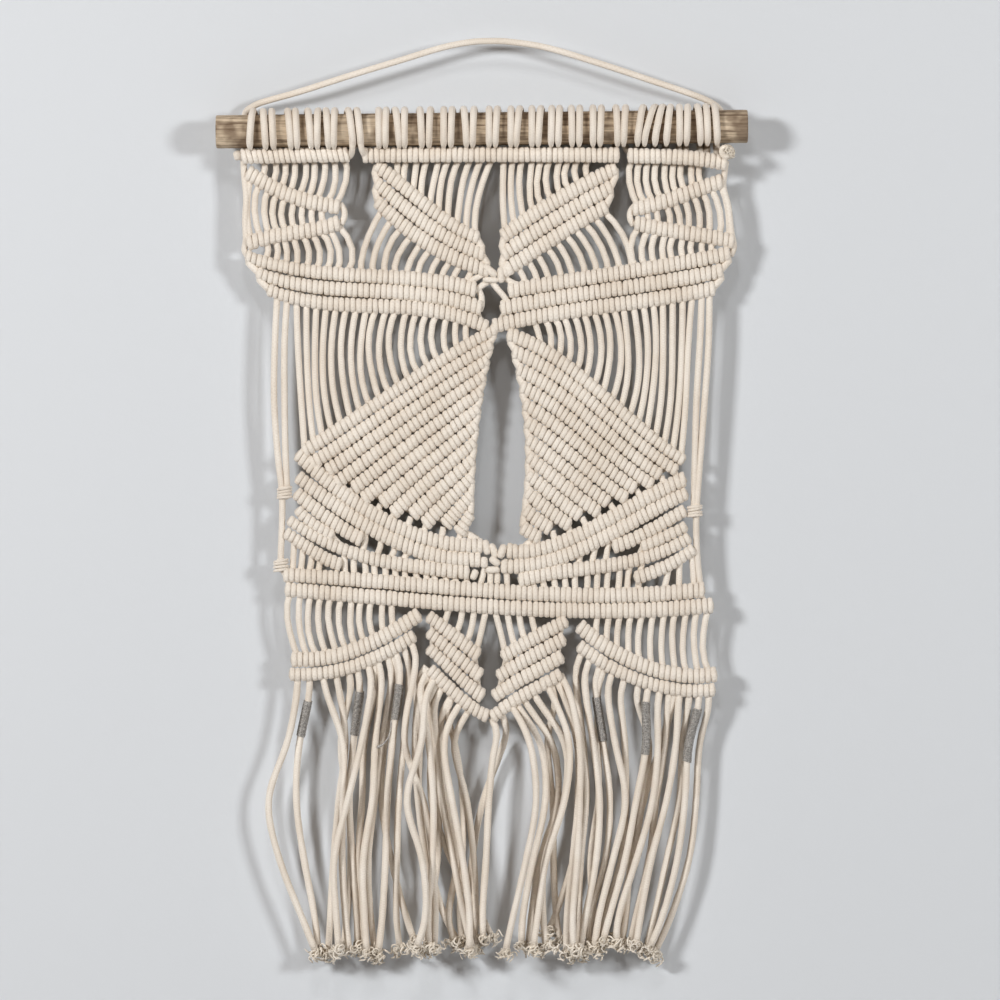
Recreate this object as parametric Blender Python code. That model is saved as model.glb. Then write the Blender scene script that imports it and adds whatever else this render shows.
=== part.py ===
"""Macrame wall hanging: a wooden dowel, its hanging cord and a knotted cotton panel with a fringe.

The panel hangs upright. +X runs to the viewer's right, the front faces -Y and +Z is up.
The origin is the nail point, at the underside of the hanging cord's peak.
All tables are in millimetres in that frame; x runs across and z down from the nail.
"""
from collections import namedtuple
import math

import bmesh
import bpy
from mathutils import Vector

MM = 0.001

# Rod
DOWEL_LENGTH = 304.8
DOWEL_RADIUS = 9.5
DOWEL_SIDES = 24
DOWEL_EASE = 0.8
DOWEL_MIDDLE = (-4.7, -48.8)
DOWEL_RISE = 3.2

# Cord and knots
CORD = 3.8
ROW_HEIGHT = 9.1
RIDGE_FRONT = 4.6
VALLEY_FRONT = 3.1
RIDGE_STEP = 0.9
BACK_DEPTH = 3.6
KNOT_PITCH = 6.5
STEP_KNOTS = {1: 2.0, 2: 2.2, 3: 5.0}
PANEL_Y = 3.0
GAP = 0.3

# Loops round the rod, by angle from straight behind it over the top
LOOP_CLEAR = 0.45
LOOP_SPANS = 6
LOOP_START = -40.0
LOOP_END = 262.0
STRAND_WIDTH = 3.9
STRAND_DEPTH = 3.5

# Hanging cord
HANGER_DIAMETER = 3.8
HANGER_POINTS = 50

# Fringe
STRIP_HEIGHT = 7.6
FRINGE_LAYER = 4.4
FRINGE_LAYERS = (0, 1, -1, 2, -2, -3)
FRINGE_SETTLE = 16.0
FRINGE_LEAD = 5.0
FRINGE_SPAN = 31.0
FRINGE_APART = 0.4
SHORT_STRAND = 17.0
LONG_STRAND = 45.0

# Thread windings
WINDING_RADIUS = 2.75
WINDING_WALL = 0.35
WINDING_SIDES = 8

# One knotted bar: `guides` holds one, two or three guide rows, each with four points (x, z) at
# thirds of the row from left to right; `rows` rows of knots are spread evenly between them.
# `lap` lengthens the left and the right end, where the bar sinks into its neighbour.
Bar = namedtuple("Bar", "name rows guides lap", defaults=((0.0, 0.0),))

BARS = (
    Bar("heading_left", 1, (((-143.5, -65.8), (-122, -65.6), (-101, -65.2), (-80.5, -65)),)),
    Bar("heading_middle", 1, (((-71, -64.8), (-23, -64.6), (26, -64.9), (74, -65.2)),)),
    Bar("heading_right", 1, (((79, -65), (97.5, -65.5), (116, -66.5), (135.5, -70)),)),
    Bar("zigzag_upper_left", 1, (((-139.5, -76.5), (-121.5, -83), (-104, -89), (-85.5, -94)),)),
    Bar("zigzag_lower_left", 1, (((-139, -113.5), (-121, -109.5), (-103, -106), (-85, -101.5)),)),
    Bar("zigzag_upper_right", 1, (((82, -94.5), (99, -90.5), (116, -84.5), (133, -78.5)),)),
    Bar("zigzag_lower_right", 1, (((83, -102.5), (102, -106.5), (121, -109.5), (140, -113.5)),)),
    Bar("vee_left", 3, (((-65.5, -69), (-46.5, -84.5), (-27, -100), (-6.5, -111.5)),
                        ((-65, -90), (-44, -108.5), (-23, -121.5), (-0.5, -130)))),
    Bar("vee_right", 3, (((7, -110.5), (28.5, -95.5), (50.5, -82.5), (72.5, -71)),
                         ((7, -131), (27, -117.5), (47, -104.5), (67, -93)))),
    Bar("belt_left", 3, (((-140, -121.5), (-96.5, -131), (-52, -134), (-8, -141)),
                         ((-127.5, -141), (-85.5, -149.5), (-43.5, -151.5), (-1.5, -162.5)))),
    Bar("belt_right", 3, (((10.5, -141.5), (53, -134.5), (95, -128), (137.5, -120)),
                          ((1.5, -162), (44, -153.5), (86.5, -147.5), (129, -140)))),
    Bar("wing_left", 12, (((-108.5, -234.5), (-72.5, -211), (-35.5, -186), (1, -164.5)),
                          ((-67.5, -262.5), (-47, -245), (-27, -229), (-7, -213.5)),
                          ((-17, -279.5), (-15, -276), (-13, -272.5), (-11, -269.5))), (3.0, 0.0)),
    Bar("wing_right", 12, (((10, -166.5), (44, -184.5), (78.5, -213.5), (112.5, -240)),
                           ((21, -221.5), (38.5, -234.5), (55.5, -248.5), (73, -262)),
                           ((18.5, -277), (21, -279), (24, -281), (27, -283))), (0.0, 3.0)),
    Bar("sweep_1_left", 1, (((-110, -237), (-74, -265.5), (-32, -284.5), (3, -291)),)),
    Bar("sweep_2_left", 1, (((-110.5, -248), (-74.5, -275), (-35.5, -291.5), (3.5, -296.5)),)),
    Bar("sweep_3_left", 1, (((-110, -258), (-98, -268), (-86, -276.5), (-74, -285)),)),
    Bar("sweep_4_left", 1, (((-109.5, -266.5), (-102.5, -273), (-96, -279), (-89, -283.5)),)),
    Bar("sweep_5_left", 1, (((-115.5, -274), (-81, -292), (-46, -299), (-11, -303)),)),
    Bar("sweep_6_left", 1, (((-118.5, -282), (-108, -287.5), (-97.5, -293), (-87, -298.5)),)),
    Bar("sweep_1_right", 1, (((5.5, -293), (41.5, -285), (77.5, -266), (112, -249)),)),
    Bar("sweep_2_right", 1, (((7, -299.5), (43, -293.5), (78.5, -276), (113, -257.5)),)),
    Bar("sweep_3_right", 1, (((70.5, -288.5), (84.5, -283), (98, -275.5), (112, -267.5)),)),
    Bar("sweep_4_right", 1, (((87, -288.5), (95, -285), (104, -281), (112.5, -276.5)),)),
    Bar("sweep_5_right", 1, (((16.5, -308), (49.5, -301.5), (82, -296.5), (114.5, -283)),)),
    Bar("sweep_6_right", 1, (((83, -306.5), (94.5, -302.5), (106, -297), (117, -289.5)),)),
    Bar("hem", 2, (((-118.5, -304.5), (-38.5, -310.5), (42.5, -316), (123, -313)),
                   ((-117.5, -313), (-35.5, -320), (46, -325), (128, -322)))),
    Bar("scallop_left", 1, (((-114, -353), (-89, -351), (-65, -342), (-40.5, -327)),)),
    Bar("scallop_right", 1, (((51, -333.5), (75.5, -351), (103, -361), (130, -361.5)),)),
    Bar("point_left", 3, (((-35.5, -328), (-26, -335.5), (-16, -343.5), (-6.5, -351)),
                          ((-35.5, -346.5), (-25, -356), (-14.5, -366), (-4, -374.5)))),
    Bar("point_right", 3, (((7, -352), (19, -344.5), (31.5, -337.5), (44, -330.5)),
                           ((2, -374.5), (15, -366), (28.5, -358.5), (41.5, -351)))),
    Bar("crossing_knot", 1, (((-6, -131), (-1, -132), (4, -133.5), (9, -135)),)),
    Bar("closing_knot", 1, (((-3, -293), (1, -295), (5, -298), (9, -300)),)),
    Bar("tie_left_upper", 1, (((-122, -257), (-119.5, -257.5), (-116.5, -258), (-114, -258.5)),)),
    Bar("tie_left_lower", 1, (((-124, -298.5), (-121.5, -299), (-118.5, -299.5), (-116, -300)),)),
    Bar("tie_right", 1, (((113.5, -267.5), (116, -268), (119, -268), (121.5, -268.5)),)),
)

# A set of strands between two bars: `top` and `foot` are the first and last place along the upper
# and the lower bar (0 left end, 1 right end); `bow` is the sideways bend of the first, middle and
# last strand.
Field = namedtuple("Field", "upper top lower foot count bow")

FIELDS = (
    Field("heading_left", (0.20, 0.95), "zigzag_upper_left", (0.14, 0.96), 9, (0.6, 2.0, 3.4)),
    Field("zigzag_upper_left", (0.04, 0.83), "zigzag_lower_left", (0.05, 0.83), 9, (-2.4, -1.2, -0.3)),
    Field("zigzag_lower_left", (0.18, 0.97), "belt_left", (0.08, 0.44), 9, (0.6, 2.0, 5.0)),
    Field("heading_middle", (0.13, 0.51), "vee_left", (0.19, 0.97), 10, (0.0, -1.5, -1.8)),
    Field("heading_middle", (0.55, 0.89), "vee_right", (0.03, 0.77), 10, (-0.4, -2.2, -1.6)),
    Field("heading_right", (0.05, 0.76), "zigzag_upper_right", (0.06, 0.78), 9, (-3.0, -2.4, -0.5)),
    Field("zigzag_upper_right", (0.13, 0.97), "zigzag_lower_right", (0.13, 0.95), 9, (0.0, 1.4, 3.0)),
    Field("zigzag_lower_right", (0.06, 0.80), "belt_right", (0.58, 0.93), 9, (-2.8, -1.6, 0.0)),
    Field("vee_left", (0.06, 0.88), "belt_left", (0.50, 0.95), 10, (-2.6, -1.6, -0.8)),
    Field("vee_right", (0.12, 0.95), "belt_right", (0.08, 0.56), 10, (0.8, 1.8, 2.8)),
    Field("belt_left", (0.13, 0.91), "wing_left", (0.02, 0.85), 18, (-1.0, -5.2, -1.2)),
    Field("belt_right", (0.18, 0.90), "wing_right", (0.19, 0.97), 17, (1.4, 4.8, 0.6)),
    Field("sweep_6_left", (0.16, 0.65), "hem", (0.02, 0.08), 4, (0.0, 0.0, 0.0)),
    Field("sweep_5_left", (0.38, 0.92), "hem", (0.18, 0.40), 7, (0.0, 0.0, 0.0)),
    Field("sweep_5_right", (0.24, 0.62), "hem", (0.66, 0.81), 6, (0.0, 0.0, 0.0)),
    Field("sweep_6_right", (0.56, 0.95), "hem", (0.90, 0.975), 3, (0.0, 0.0, 0.4)),
    Field("hem", (0.012, 0.25), "scallop_left", (0.05, 0.80), 11, (-3.7, -3.2, -0.8)),
    Field("hem", (0.385, 0.472), "point_left", (0.30, 0.93), 4, (0.6, 0.9, 0.6)),
    Field("hem", (0.488, 0.575), "point_right", (0.05, 0.55), 4, (0.0, -0.5, -0.3)),
    Field("hem", (0.735, 0.99), "scallop_right", (0.14, 0.95), 11, (0.0, -0.6, -2.0)),
)

# Strands that run free along the two edges from the belt down to the hem
EDGE_STRANDS = {
    "left_outer": ((-122, -141), (-123.5, -170), (-124, -204), (-122, -235), (-119.5, -257),
                   (-119.5, -277), (-120, -299), (-116, -305)),
    "left_inner": ((-116.5, -145), (-118, -172), (-118, -204), (-117.5, -232), (-116.5, -257)),
    "right_inner": ((121.5, -143), (120.5, -170), (118.5, -204), (117.5, -240), (117, -268)),
    "right_outer": ((126, -141), (125.5, -172), (123, -208), (120.5, -240), (118.5, -268),
                    (118.5, -285), (119.5, -300), (121, -313)),
}

# Where each strand crosses the front of the rod; two neighbours are the ends of one cord
LOOP_PLACES = (-136.5, -129.5, -124.8, -115.2, -110.8, -103.7, -99.0, -93.3, -89.0, -80.5, -75.8,
               -64.0, -59.8, -53.6, -48.8, -39.8, -34.5, -26.7, -22.0, -14.5, -9.5, -0.6, 3.8,
               11.9, 16.3, 24.0, 28.4, 35.3, 39.7, 46.8, 51.4, 59.1, 63.7, 72.4, 77.2, 86.3,
               92.0, 97.3, 102.4, 108.4, 113.0, 119.6, 124.0, 129.0)

# One fringe backing: the last knotted row, just below its bar, which it follows from `start`
# to `end` (0 is the bar's left end, 1 its right end)
Backing = namedtuple("Backing", "bar start end")

FRINGES = {
    "fringe_left": (Backing("scallop_left", -0.005, 0.90),),
    "fringe_middle": (Backing("point_left", 0.21, 1.2), Backing("point_right", -0.2, 0.87)),
    "fringe_right": (Backing("scallop_right", 0.08, 0.97),),
}

# Fringe strands: the backing's bar and the place along it, then x where the strand passes the
# four fringe levels, and its free end (x, z)
Strand = namedtuple("Strand", "bar place x_400 x_433 x_468 x_502 end_x end_z")

STRANDS = (
    Strand("scallop_left", 0.05, -116, -127.5, -121, -107.5, -100.5, -520),
    Strand("scallop_left", 0.13, -109.5, -111.5, -107, -100.5, -99, -519),
    Strand("scallop_left", 0.22, -84.5, -84.5, -85, -83, -81, -519),
    Strand("scallop_left", 0.31, -83, -87, -90, -92, -93, -521),
    Strand("scallop_left", 0.46, -78.5, -81, -79, -76.5, -76, -517),
    Strand("scallop_left", 0.54, -73.5, -81.5, -89.5, -88, -87, -518),
    Strand("scallop_left", 0.61, -66, -67.5, -73, -72, -71, -520),
    Strand("scallop_left", 0.68, -62, -66, -70, -68.5, -66, -523),
    Strand("scallop_left", 0.74, -56, -59, -60, -62, -64, -520),
    Strand("scallop_left", 0.80, -49.5, -52.5, -53.5, -54, -52, -518),
    Strand("scallop_left", 0.86, -49.5, -38, -33, -31, -32, -517),
    Strand("point_left", 0.25, -43, -41.5, -37, -34, -37, -518),
    Strand("point_left", 0.35, -38, -45.5, -42.5, -39, -42, -517),
    Strand("point_left", 0.48, -28.5, -27.5, -22, -15, -12, -519),
    Strand("point_left", 0.61, -27, -24.5, -18, -24, -21, -514),
    Strand("point_left", 0.74, -24.5, -19, -13, -9, -8, -518),
    Strand("point_left", 0.87, -19.5, -14, -11, -10.5, -13, -519),
    Strand("point_left", 1.00, 1.5, -8, -14.5, -12, 0, -514),
    Strand("point_right", 0.02, 2.5, 1, -2.5, -6, -4, -512),
    Strand("point_right", 0.14, 9.5, 5.5, 0.5, 3.5, 8, -516),
    Strand("point_right", 0.26, 23, 26.5, 20.5, 12.5, 9, -519),
    Strand("point_right", 0.39, 35, 35, 27, 20.5, 20, -517),
    Strand("point_right", 0.52, 40.5, 43, 36, 29, 31, -516),
    Strand("point_right", 0.65, 45.5, 43, 32, 27, 25, -517),
    Strand("point_right", 0.78, 50, 50.5, 47.5, 44, 44, -521),
    Strand("scallop_right", 0.12, 53.5, 55.5, 52, 51, 50, -522),
    Strand("scallop_right", 0.18, 59, 63, 61, 54.5, 52, -518),
    Strand("scallop_right", 0.25, 65, 69, 66.5, 57, 57, -516),
    Strand("scallop_right", 0.33, 71.5, 78, 70.5, 62, 60, -518),
    Strand("scallop_right", 0.41, 77.5, 78, 75.5, 65, 63.5, -516),
    Strand("scallop_right", 0.56, 90, 84, 77.5, 68, 65, -514),
    Strand("scallop_right", 0.63, 96.5, 93.5, 84, 73, 72.5, -514),
    Strand("scallop_right", 0.69, 101, 95.5, 91.5, 83.5, 81, -515),
    Strand("scallop_right", 0.75, 107, 101.5, 92.5, 86, 84, -516),
    Strand("scallop_right", 0.81, 110.5, 109, 101.5, 94, 90, -519),
    Strand("scallop_right", 0.87, 114, 112, 107.5, 98.5, 92, -518),
    Strand("scallop_right", 0.93, 120.5, 118.5, 114.5, 103.5, 95, -521),
)

FRINGE_LEVELS = (-400.0, -433.5, -468.0, -502.5)

# A thread winding: the number of its strand in the table above, and its upper and lower end
Winding = namedtuple("Winding", "strand top bottom")

WINDINGS = (
    Winding(1, -375.0, -399.0),
    Winding(4, -369.0, -397.0),
    Winding(8, -366.0, -390.5),
    Winding(27, -370.5, -400.0),
    Winding(30, -377.0, -405.0),
    Winding(35, -381.0, -412.0),
)

# Hanging cord: x, y, z of its route from behind the rod's left end over the nail to the right end
HANGER_ROUTE = (
    (-141.5, 9.2, -65), (-141.5, 11, -59), (-141.5, 11.8, -51), (-141.3, 11.9, -44.5),
    (-140.6, 11.2, -38.5), (-136, 9.2, -35), (-129, 6.5, -32.4), (-109, 4, -27), (-80, 3, -17.8),
    (-51, 3, -9), (-28, 3, -2), (-12, 3, 1.2), (0, 3, 1.9), (12, 3, 1.4), (33, 3, -2),
    (63, 3, -11), (92, 4, -20.5), (116, 6, -28.5), (127, 9, -33), (132.5, 11.2, -37.5),
    (134.2, 11.9, -44), (134.6, 11.9, -50), (135.2, 10.8, -55.6),
)

END_KNOT_MIDDLE = (136.2, 8.8, -61.6)
END_KNOT_RADIUS = 4.0

HEADING = ("heading_left", "heading_middle", "heading_right")

COTTON = ("cotton_cord", (0.78, 0.70, 0.62), 0.95, 0.0)
WOOD = ("dowel_wood", (0.42, 0.31, 0.22), 0.75, 0.0)
THREAD = ("grey_metallic_thread", (0.36, 0.35, 0.34), 0.45, 0.3)


def material(finish):
    """Return the Principled material of a finish (name, colour, roughness, metallic)."""
    name, colour, roughness, metallic = finish
    existing = bpy.data.materials.get(name)
    if existing:
        return existing
    made = bpy.data.materials.new(name)
    made.use_nodes = True
    shader = made.node_tree.nodes["Principled BSDF"]
    shader.inputs["Base Color"].default_value = (*colour, 1.0)
    shader.inputs["Roughness"].default_value = roughness
    shader.inputs["Metallic"].default_value = metallic
    return made


def add_object(name, bm, finish):
    """Turn a bmesh into a named object with its finish."""
    bmesh.ops.connect_verts_nonplanar(bm, angle_limit=math.radians(0.2), faces=bm.faces)
    bmesh.ops.recalc_face_normals(bm, faces=bm.faces)
    mesh = bpy.data.meshes.new(name)
    bm.to_mesh(mesh)
    bm.free()
    mesh.materials.append(material(finish))
    made = bpy.data.objects.new(name, mesh)
    bpy.context.scene.collection.objects.link(made)
    return made


def unite(body, tool):
    """Fuse a second object, and each object's own overlapping shells, into `body`."""
    tool.hide_render = True
    tool.display_type = "WIRE"
    union = body.modifiers.new("fuse", "BOOLEAN")
    union.operation = "UNION"
    union.solver = "EXACT"
    union.use_self = True
    union.object = tool


def cubic(points, t):
    """Return the curve through four points at 0, 1/3, 2/3 and 1, at t."""
    a, b, c, d = (Vector(p) for p in points)
    return (a * (-4.5 * (t - 1 / 3) * (t - 2 / 3) * (t - 1))
            + b * (13.5 * t * (t - 2 / 3) * (t - 1))
            + c * (-13.5 * t * (t - 1 / 3) * (t - 1))
            + d * (4.5 * t * (t - 1 / 3) * (t - 2 / 3)))


def blend(values, s):
    """Interpolate one, two or three evenly spaced values at s."""
    if len(values) == 1:
        return values[0]
    if len(values) == 2:
        return values[0] * (1 - s) + values[1] * s
    return (values[0] * ((1 - s) * (1 - 2 * s)) + values[1] * (4 * s * (1 - s))
            + values[2] * (s * (2 * s - 1)))


def row_point(bar, row, t):
    """Return the middle of a bar's row (x, z) at t along it."""
    share = row / (bar.rows - 1) if bar.rows > 1 else 0.0
    return blend([cubic(guide, t) for guide in bar.guides], share)


def row_up(bar, row, t):
    """Return the unit vector (x, z) that points up across a bar's row at t."""
    along = (row_point(bar, row, t + 0.01) - row_point(bar, row, t - 0.01)).normalized()
    return Vector((-along.y, along.x))


def place(xz, y):
    """Return a point in metres from (x, z) and y in millimetres."""
    return Vector((xz[0], y, xz[1])) * MM


def skin(bm, rings):
    """Skin closed rings of equal count, one after the other; return their vertices."""
    verts = [[bm.verts.new(p) for p in ring] for ring in rings]
    count = len(rings[0])
    for near, far in zip(verts, verts[1:]):
        for i in range(count):
            j = (i + 1) % count
            bm.faces.new((near[i], near[j], far[j], far[i]))
    return verts


def loft(bm, rings):
    """Skin closed rings of equal count and close both ends with flat faces."""
    verts = skin(bm, rings)
    bm.faces.new(verts[0])
    bm.faces.new(verts[-1])


def close_bar(bm, ring, rows):
    """Close a bar's end: a triangle in front of each row and a fan to the back behind them."""
    valleys = ring[:2 * rows + 1:2]
    backs = ring[2 * rows + 1:][::-1]
    for row in range(rows):
        bm.faces.new((valleys[row], ring[2 * row + 1], valleys[row + 1]))
    group = rows // (len(backs) - 1)
    for part in range(len(backs) - 1):
        for row in range(part * group, (part + 1) * group):
            bm.faces.new((backs[part], valleys[row], valleys[row + 1]))
        bm.faces.new((backs[part], valleys[(part + 1) * group], backs[part + 1]))


def bar_section(bar, t, ridge, shift):
    """Return one cross-section of a bar: a ridge for each row in front, flat behind."""
    rows = [row_point(bar, r, t) for r in range(bar.rows)]
    ups = [row_up(bar, r, t) for r in (0, bar.rows - 1)]
    if shift:
        rows = [p + Vector((-u.y, u.x)) * -shift for p, u in
                zip(rows, [row_up(bar, r, t) for r in range(bar.rows)])]
    top = rows[0] + ups[0] * (ROW_HEIGHT / 2)
    foot = rows[-1] - ups[1] * (ROW_HEIGHT / 2)
    valley = PANEL_Y - VALLEY_FRONT
    crest = PANEL_Y - RIDGE_FRONT - ridge
    ring = [place(top, valley)]
    for row, point in enumerate(rows):
        ring.append(place(point, crest))
        if row + 1 < len(rows):
            ring.append(place((point + rows[row + 1]) / 2, valley))
    back = PANEL_Y + BACK_DEPTH
    ring += [place(foot, valley), place(foot, back)]
    ring += [place((rows[row - 1] + rows[row]) / 2, back) for row in range(bar.rows - 3, 0, -3)]
    ring.append(place(top, back))
    return ring


def bar_length(bar):
    """Return the length of a bar's first row."""
    points = [row_point(bar, 0, i / 12) for i in range(13)]
    return sum((b - a).length for a, b in zip(points, points[1:]))


def bar_steps(bar):
    """Return the number of lengths that a bar is built in."""
    return max(2, round(bar_length(bar) / KNOT_PITCH / STEP_KNOTS[min(bar.rows, 3)]))


def add_bar(bm, bar):
    """Add one bar of knots, ridged row by row and along each row."""
    steps = bar_steps(bar)
    rings = []
    if bar.lap[0]:
        rings.append(bar_section(bar, 0.0, 0.0, -bar.lap[0]))
    for i in range(steps + 1):
        rings.append(bar_section(bar, i / steps, RIDGE_STEP * (i % 2), 0.0))
    if bar.lap[1]:
        rings.append(bar_section(bar, 1.0, 0.0, bar.lap[1]))
    verts = skin(bm, rings)
    close_bar(bm, verts[0], bar.rows)
    close_bar(bm, verts[-1], bar.rows)


def strand_rings(points, width, depth, sides=3):
    """Return three- or four-sided rings along a strand's points (x, y, z) in millimetres."""
    rings = []
    for i, point in enumerate(points):
        before = points[max(i - 1, 0)]
        after = points[min(i + 1, len(points) - 1)]
        along = (Vector(after) - Vector(before)).normalized()
        side = along.cross(Vector((0, 1, 0))).normalized() * (width / 2)
        back = side.cross(along).normalized() * (depth / 2)
        if back.y < 0:
            back = -back
        middle = Vector(point)
        if sides == 3:
            ring = (middle + side + back, middle - side + back, middle - back)
        else:
            ring = (middle + side, middle + back, middle - side, middle - back)
        rings.append([corner * MM for corner in ring])
    return rings


def add_field(bm, field, bars):
    """Add the strands of a field, from the middle of the upper bar to that of the lower one."""
    upper, lower = bars[field.upper], bars[field.lower]
    for i in range(field.count):
        share = i / (field.count - 1)
        top = row_point(upper, upper.rows - 1, blend(field.top, share))
        foot = row_point(lower, 0, blend(field.foot, share))
        bow = blend(field.bow, share)
        length = (top - foot).length
        spans = 1 if length < SHORT_STRAND else 2 if length < LONG_STRAND else 3
        points = []
        for k in range(spans + 1):
            t = k / spans
            x, z = blend((top, foot), t)
            points.append((x + bow * 4 * t * (1 - t), PANEL_Y, z))
        loft(bm, strand_rings(points, STRAND_WIDTH, STRAND_DEPTH))


def rod_height(x):
    """Return z of the rod's axis at x."""
    return DOWEL_MIDDLE[1] + DOWEL_RISE * (x - DOWEL_MIDDLE[0]) / DOWEL_LENGTH


def heading_foot(x, bars):
    """Return the point (x, z) on the heading bars that is nearest to x."""
    places = [row_point(bars[name], 0, i / 60) for name in HEADING for i in range(2, 59)]
    return min(places, key=lambda p: abs(p.x - x))


def add_loop(bm, x, foot):
    """Add one strand's turn round the rod, from the heading bar up behind it and over the front."""
    step = math.radians(LOOP_END - LOOP_START) / LOOP_SPANS
    inner = (DOWEL_RADIUS + LOOP_CLEAR) / math.cos(step / 2)
    outer = inner + STRAND_DEPTH
    half = STRAND_WIDTH / 2
    rings = [[place(foot + Vector((dx, 0)), PANEL_Y + dy) for dx, dy in
              ((half, -STRAND_DEPTH / 2), (-half, -STRAND_DEPTH / 2), (0, STRAND_DEPTH / 2))]]
    for i in range(LOOP_SPANS + 1):
        angle = math.radians(LOOP_START) + step * i
        ring = []
        for dx, radius in ((half, inner), (-half, inner), (0, outer)):
            height = rod_height(x + dx) + radius * math.sin(angle)
            ring.append(Vector((x + dx, radius * math.cos(angle), height)) * MM)
        rings.append(ring)
    loft(bm, rings)


def make_panel(bars):
    """Build the knotted panel: bars, strands and loops fused into one body."""
    knots = bmesh.new()
    for bar in BARS:
        add_bar(knots, bar)
    body = add_object("macrame_panel", knots, COTTON)
    strands = bmesh.new()
    for field in FIELDS:
        add_field(strands, field, bars)
    for path in EDGE_STRANDS.values():
        points = [(x, PANEL_Y, z) for x, z in path]
        loft(strands, strand_rings(points, STRAND_WIDTH, STRAND_DEPTH))
    for x in LOOP_PLACES:
        add_loop(strands, x, heading_foot(x, bars))
    unite(body, add_object("panel_strands", strands, COTTON))


def strip_point(bar, t, across):
    """Return the point (x, z) at t along a bar, `across` millimetres below its last row."""
    return row_point(bar, bar.rows - 1, t) - row_up(bar, bar.rows - 1, t) * across


def add_strip(bm, backing, bars):
    """Add a fringe's backing row, parted by a hair from the bar that it follows."""
    bar = bars[backing.bar]
    top = ROW_HEIGHT / 2 + GAP
    crest = top + STRIP_HEIGHT / 2
    foot = top + STRIP_HEIGHT
    steps = bar_steps(bar)
    places = [i / steps for i in range(steps + 1) if backing.start < i / steps < backing.end]
    rings = []
    for i, t in enumerate([backing.start] + places + [backing.end]):
        front = PANEL_Y - RIDGE_FRONT - RIDGE_STEP * (i % 2)
        rings.append([place(strip_point(bar, t, across), y) for across, y in
                      ((top, PANEL_Y - VALLEY_FRONT), (crest, front), (foot, PANEL_Y - VALLEY_FRONT),
                       (foot, PANEL_Y + BACK_DEPTH), (top, PANEL_Y + BACK_DEPTH))])
    loft(bm, rings)


def strand_keys(strand, bars):
    """Return a fringe strand's key points (x, z) from its root in the backing to its free end."""
    bar = bars[strand.bar]
    root = strip_point(bar, strand.place, ROW_HEIGHT / 2 + GAP + STRIP_HEIGHT / 2)
    lead = strip_point(bar, strand.place, ROW_HEIGHT / 2 + GAP + STRIP_HEIGHT + FRINGE_LEAD)
    keys = [(root.x, root.y), (lead.x, lead.y)]
    for x, z in zip((strand.x_400, strand.x_433, strand.x_468, strand.x_502), FRINGE_LEVELS):
        if z < lead.y - FRINGE_LEAD:
            keys.append((x, z))
    keys.append((strand.end_x, strand.end_z))
    return keys


def along_keys(keys, z):
    """Return x on a smooth curve through the key points at height z."""
    for i in range(len(keys) - 1):
        if z >= keys[i + 1][1] or i == len(keys) - 2:
            break
    (x1, z1), (x2, z2) = keys[i], keys[i + 1]
    before = keys[max(i - 1, 0)]
    after = keys[min(i + 2, len(keys) - 1)]
    slope1 = (x2 - before[0]) / (z2 - before[1])
    slope2 = (after[0] - x1) / (after[1] - z1)
    t = (z - z1) / (z2 - z1)
    span = z2 - z1
    return ((2 * t ** 3 - 3 * t ** 2 + 1) * x1 + (t ** 3 - 2 * t ** 2 + t) * span * slope1
            + (3 * t ** 2 - 2 * t ** 3) * x2 + (t ** 3 - t ** 2) * span * slope2)


def strand_path(keys, layer, levels):
    """Return a fringe strand's points (x, y, z) at the given heights, in its own layer."""
    root = keys[0][1]
    points = []
    for z in levels:
        settled = min(1.0, max(0.0, (root - z - STRIP_HEIGHT / 2) / FRINGE_SETTLE))
        y = PANEL_Y + layer * FRINGE_LAYER * settled * settled * (3 - 2 * settled)
        points.append(Vector((along_keys(keys, z), y, z)))
    return points


def strand_levels(keys, winding):
    """Return the heights at which a fringe strand has its sections."""
    root, end = keys[0][1], keys[-1][1]
    spans = math.ceil((root - end) / FRINGE_SPAN)
    levels = {round(root + (end - root) * i / spans, 2) for i in range(spans + 1)}
    levels |= {round(root - STRIP_HEIGHT / 2 - FRINGE_LEAD, 2)}
    if winding:
        levels = {z for z in levels if not winding.bottom - 4 < z < winding.top + 4 or z == root}
        middle = (winding.top + winding.bottom) / 2
        levels |= {winding.top + 1, middle, winding.bottom - 1}
    return sorted(levels, reverse=True)


def sampled(path):
    """Return points about two millimetres apart along a fringe strand below its backing."""
    points = []
    for a, b in zip(path, path[1:]):
        count = max(1, int((b - a).length / 2))
        points += [a.lerp(b, i / count) for i in range(count)]
    return [p for p in points + [path[-1]] if p.z < path[0].z - STRIP_HEIGHT / 2 - 1]


def thickness(winding, z):
    """Return a strand's half thickness at a height, with its thread winding if it has one."""
    if winding and winding.bottom - 3 < z < winding.top + 3:
        return WINDING_RADIUS
    return CORD / 2


def clearance(path, winding, others):
    """Return the least gap between a fringe strand and the strands already laid."""
    least = FRINGE_APART
    for other_path, other_winding in others:
        for p in path:
            for q in other_path:
                if abs(p.z - q.z) < 7 and abs(p.x - q.x) < 7:
                    gap = (p - q).length - thickness(winding, p.z) - thickness(other_winding, q.z)
                    least = min(least, gap)
    return least


def lay_strands(bars):
    """Return each fringe strand's path, laid in layers so that crossing strands stand apart."""
    windings = {w.strand: w for w in WINDINGS}
    laid = []
    paths = []
    for number, strand in enumerate(STRANDS):
        keys = strand_keys(strand, bars)
        winding = windings.get(number)
        levels = strand_levels(keys, winding)
        best = None
        for layer in FRINGE_LAYERS:
            path = strand_path(keys, layer, levels)
            gap = clearance(sampled(path), winding, laid)
            if best is None or gap > best[0]:
                best = (gap, path, layer)
        laid.append((sampled(best[1]), winding))
        paths.append(best[1])
    return paths


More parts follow.
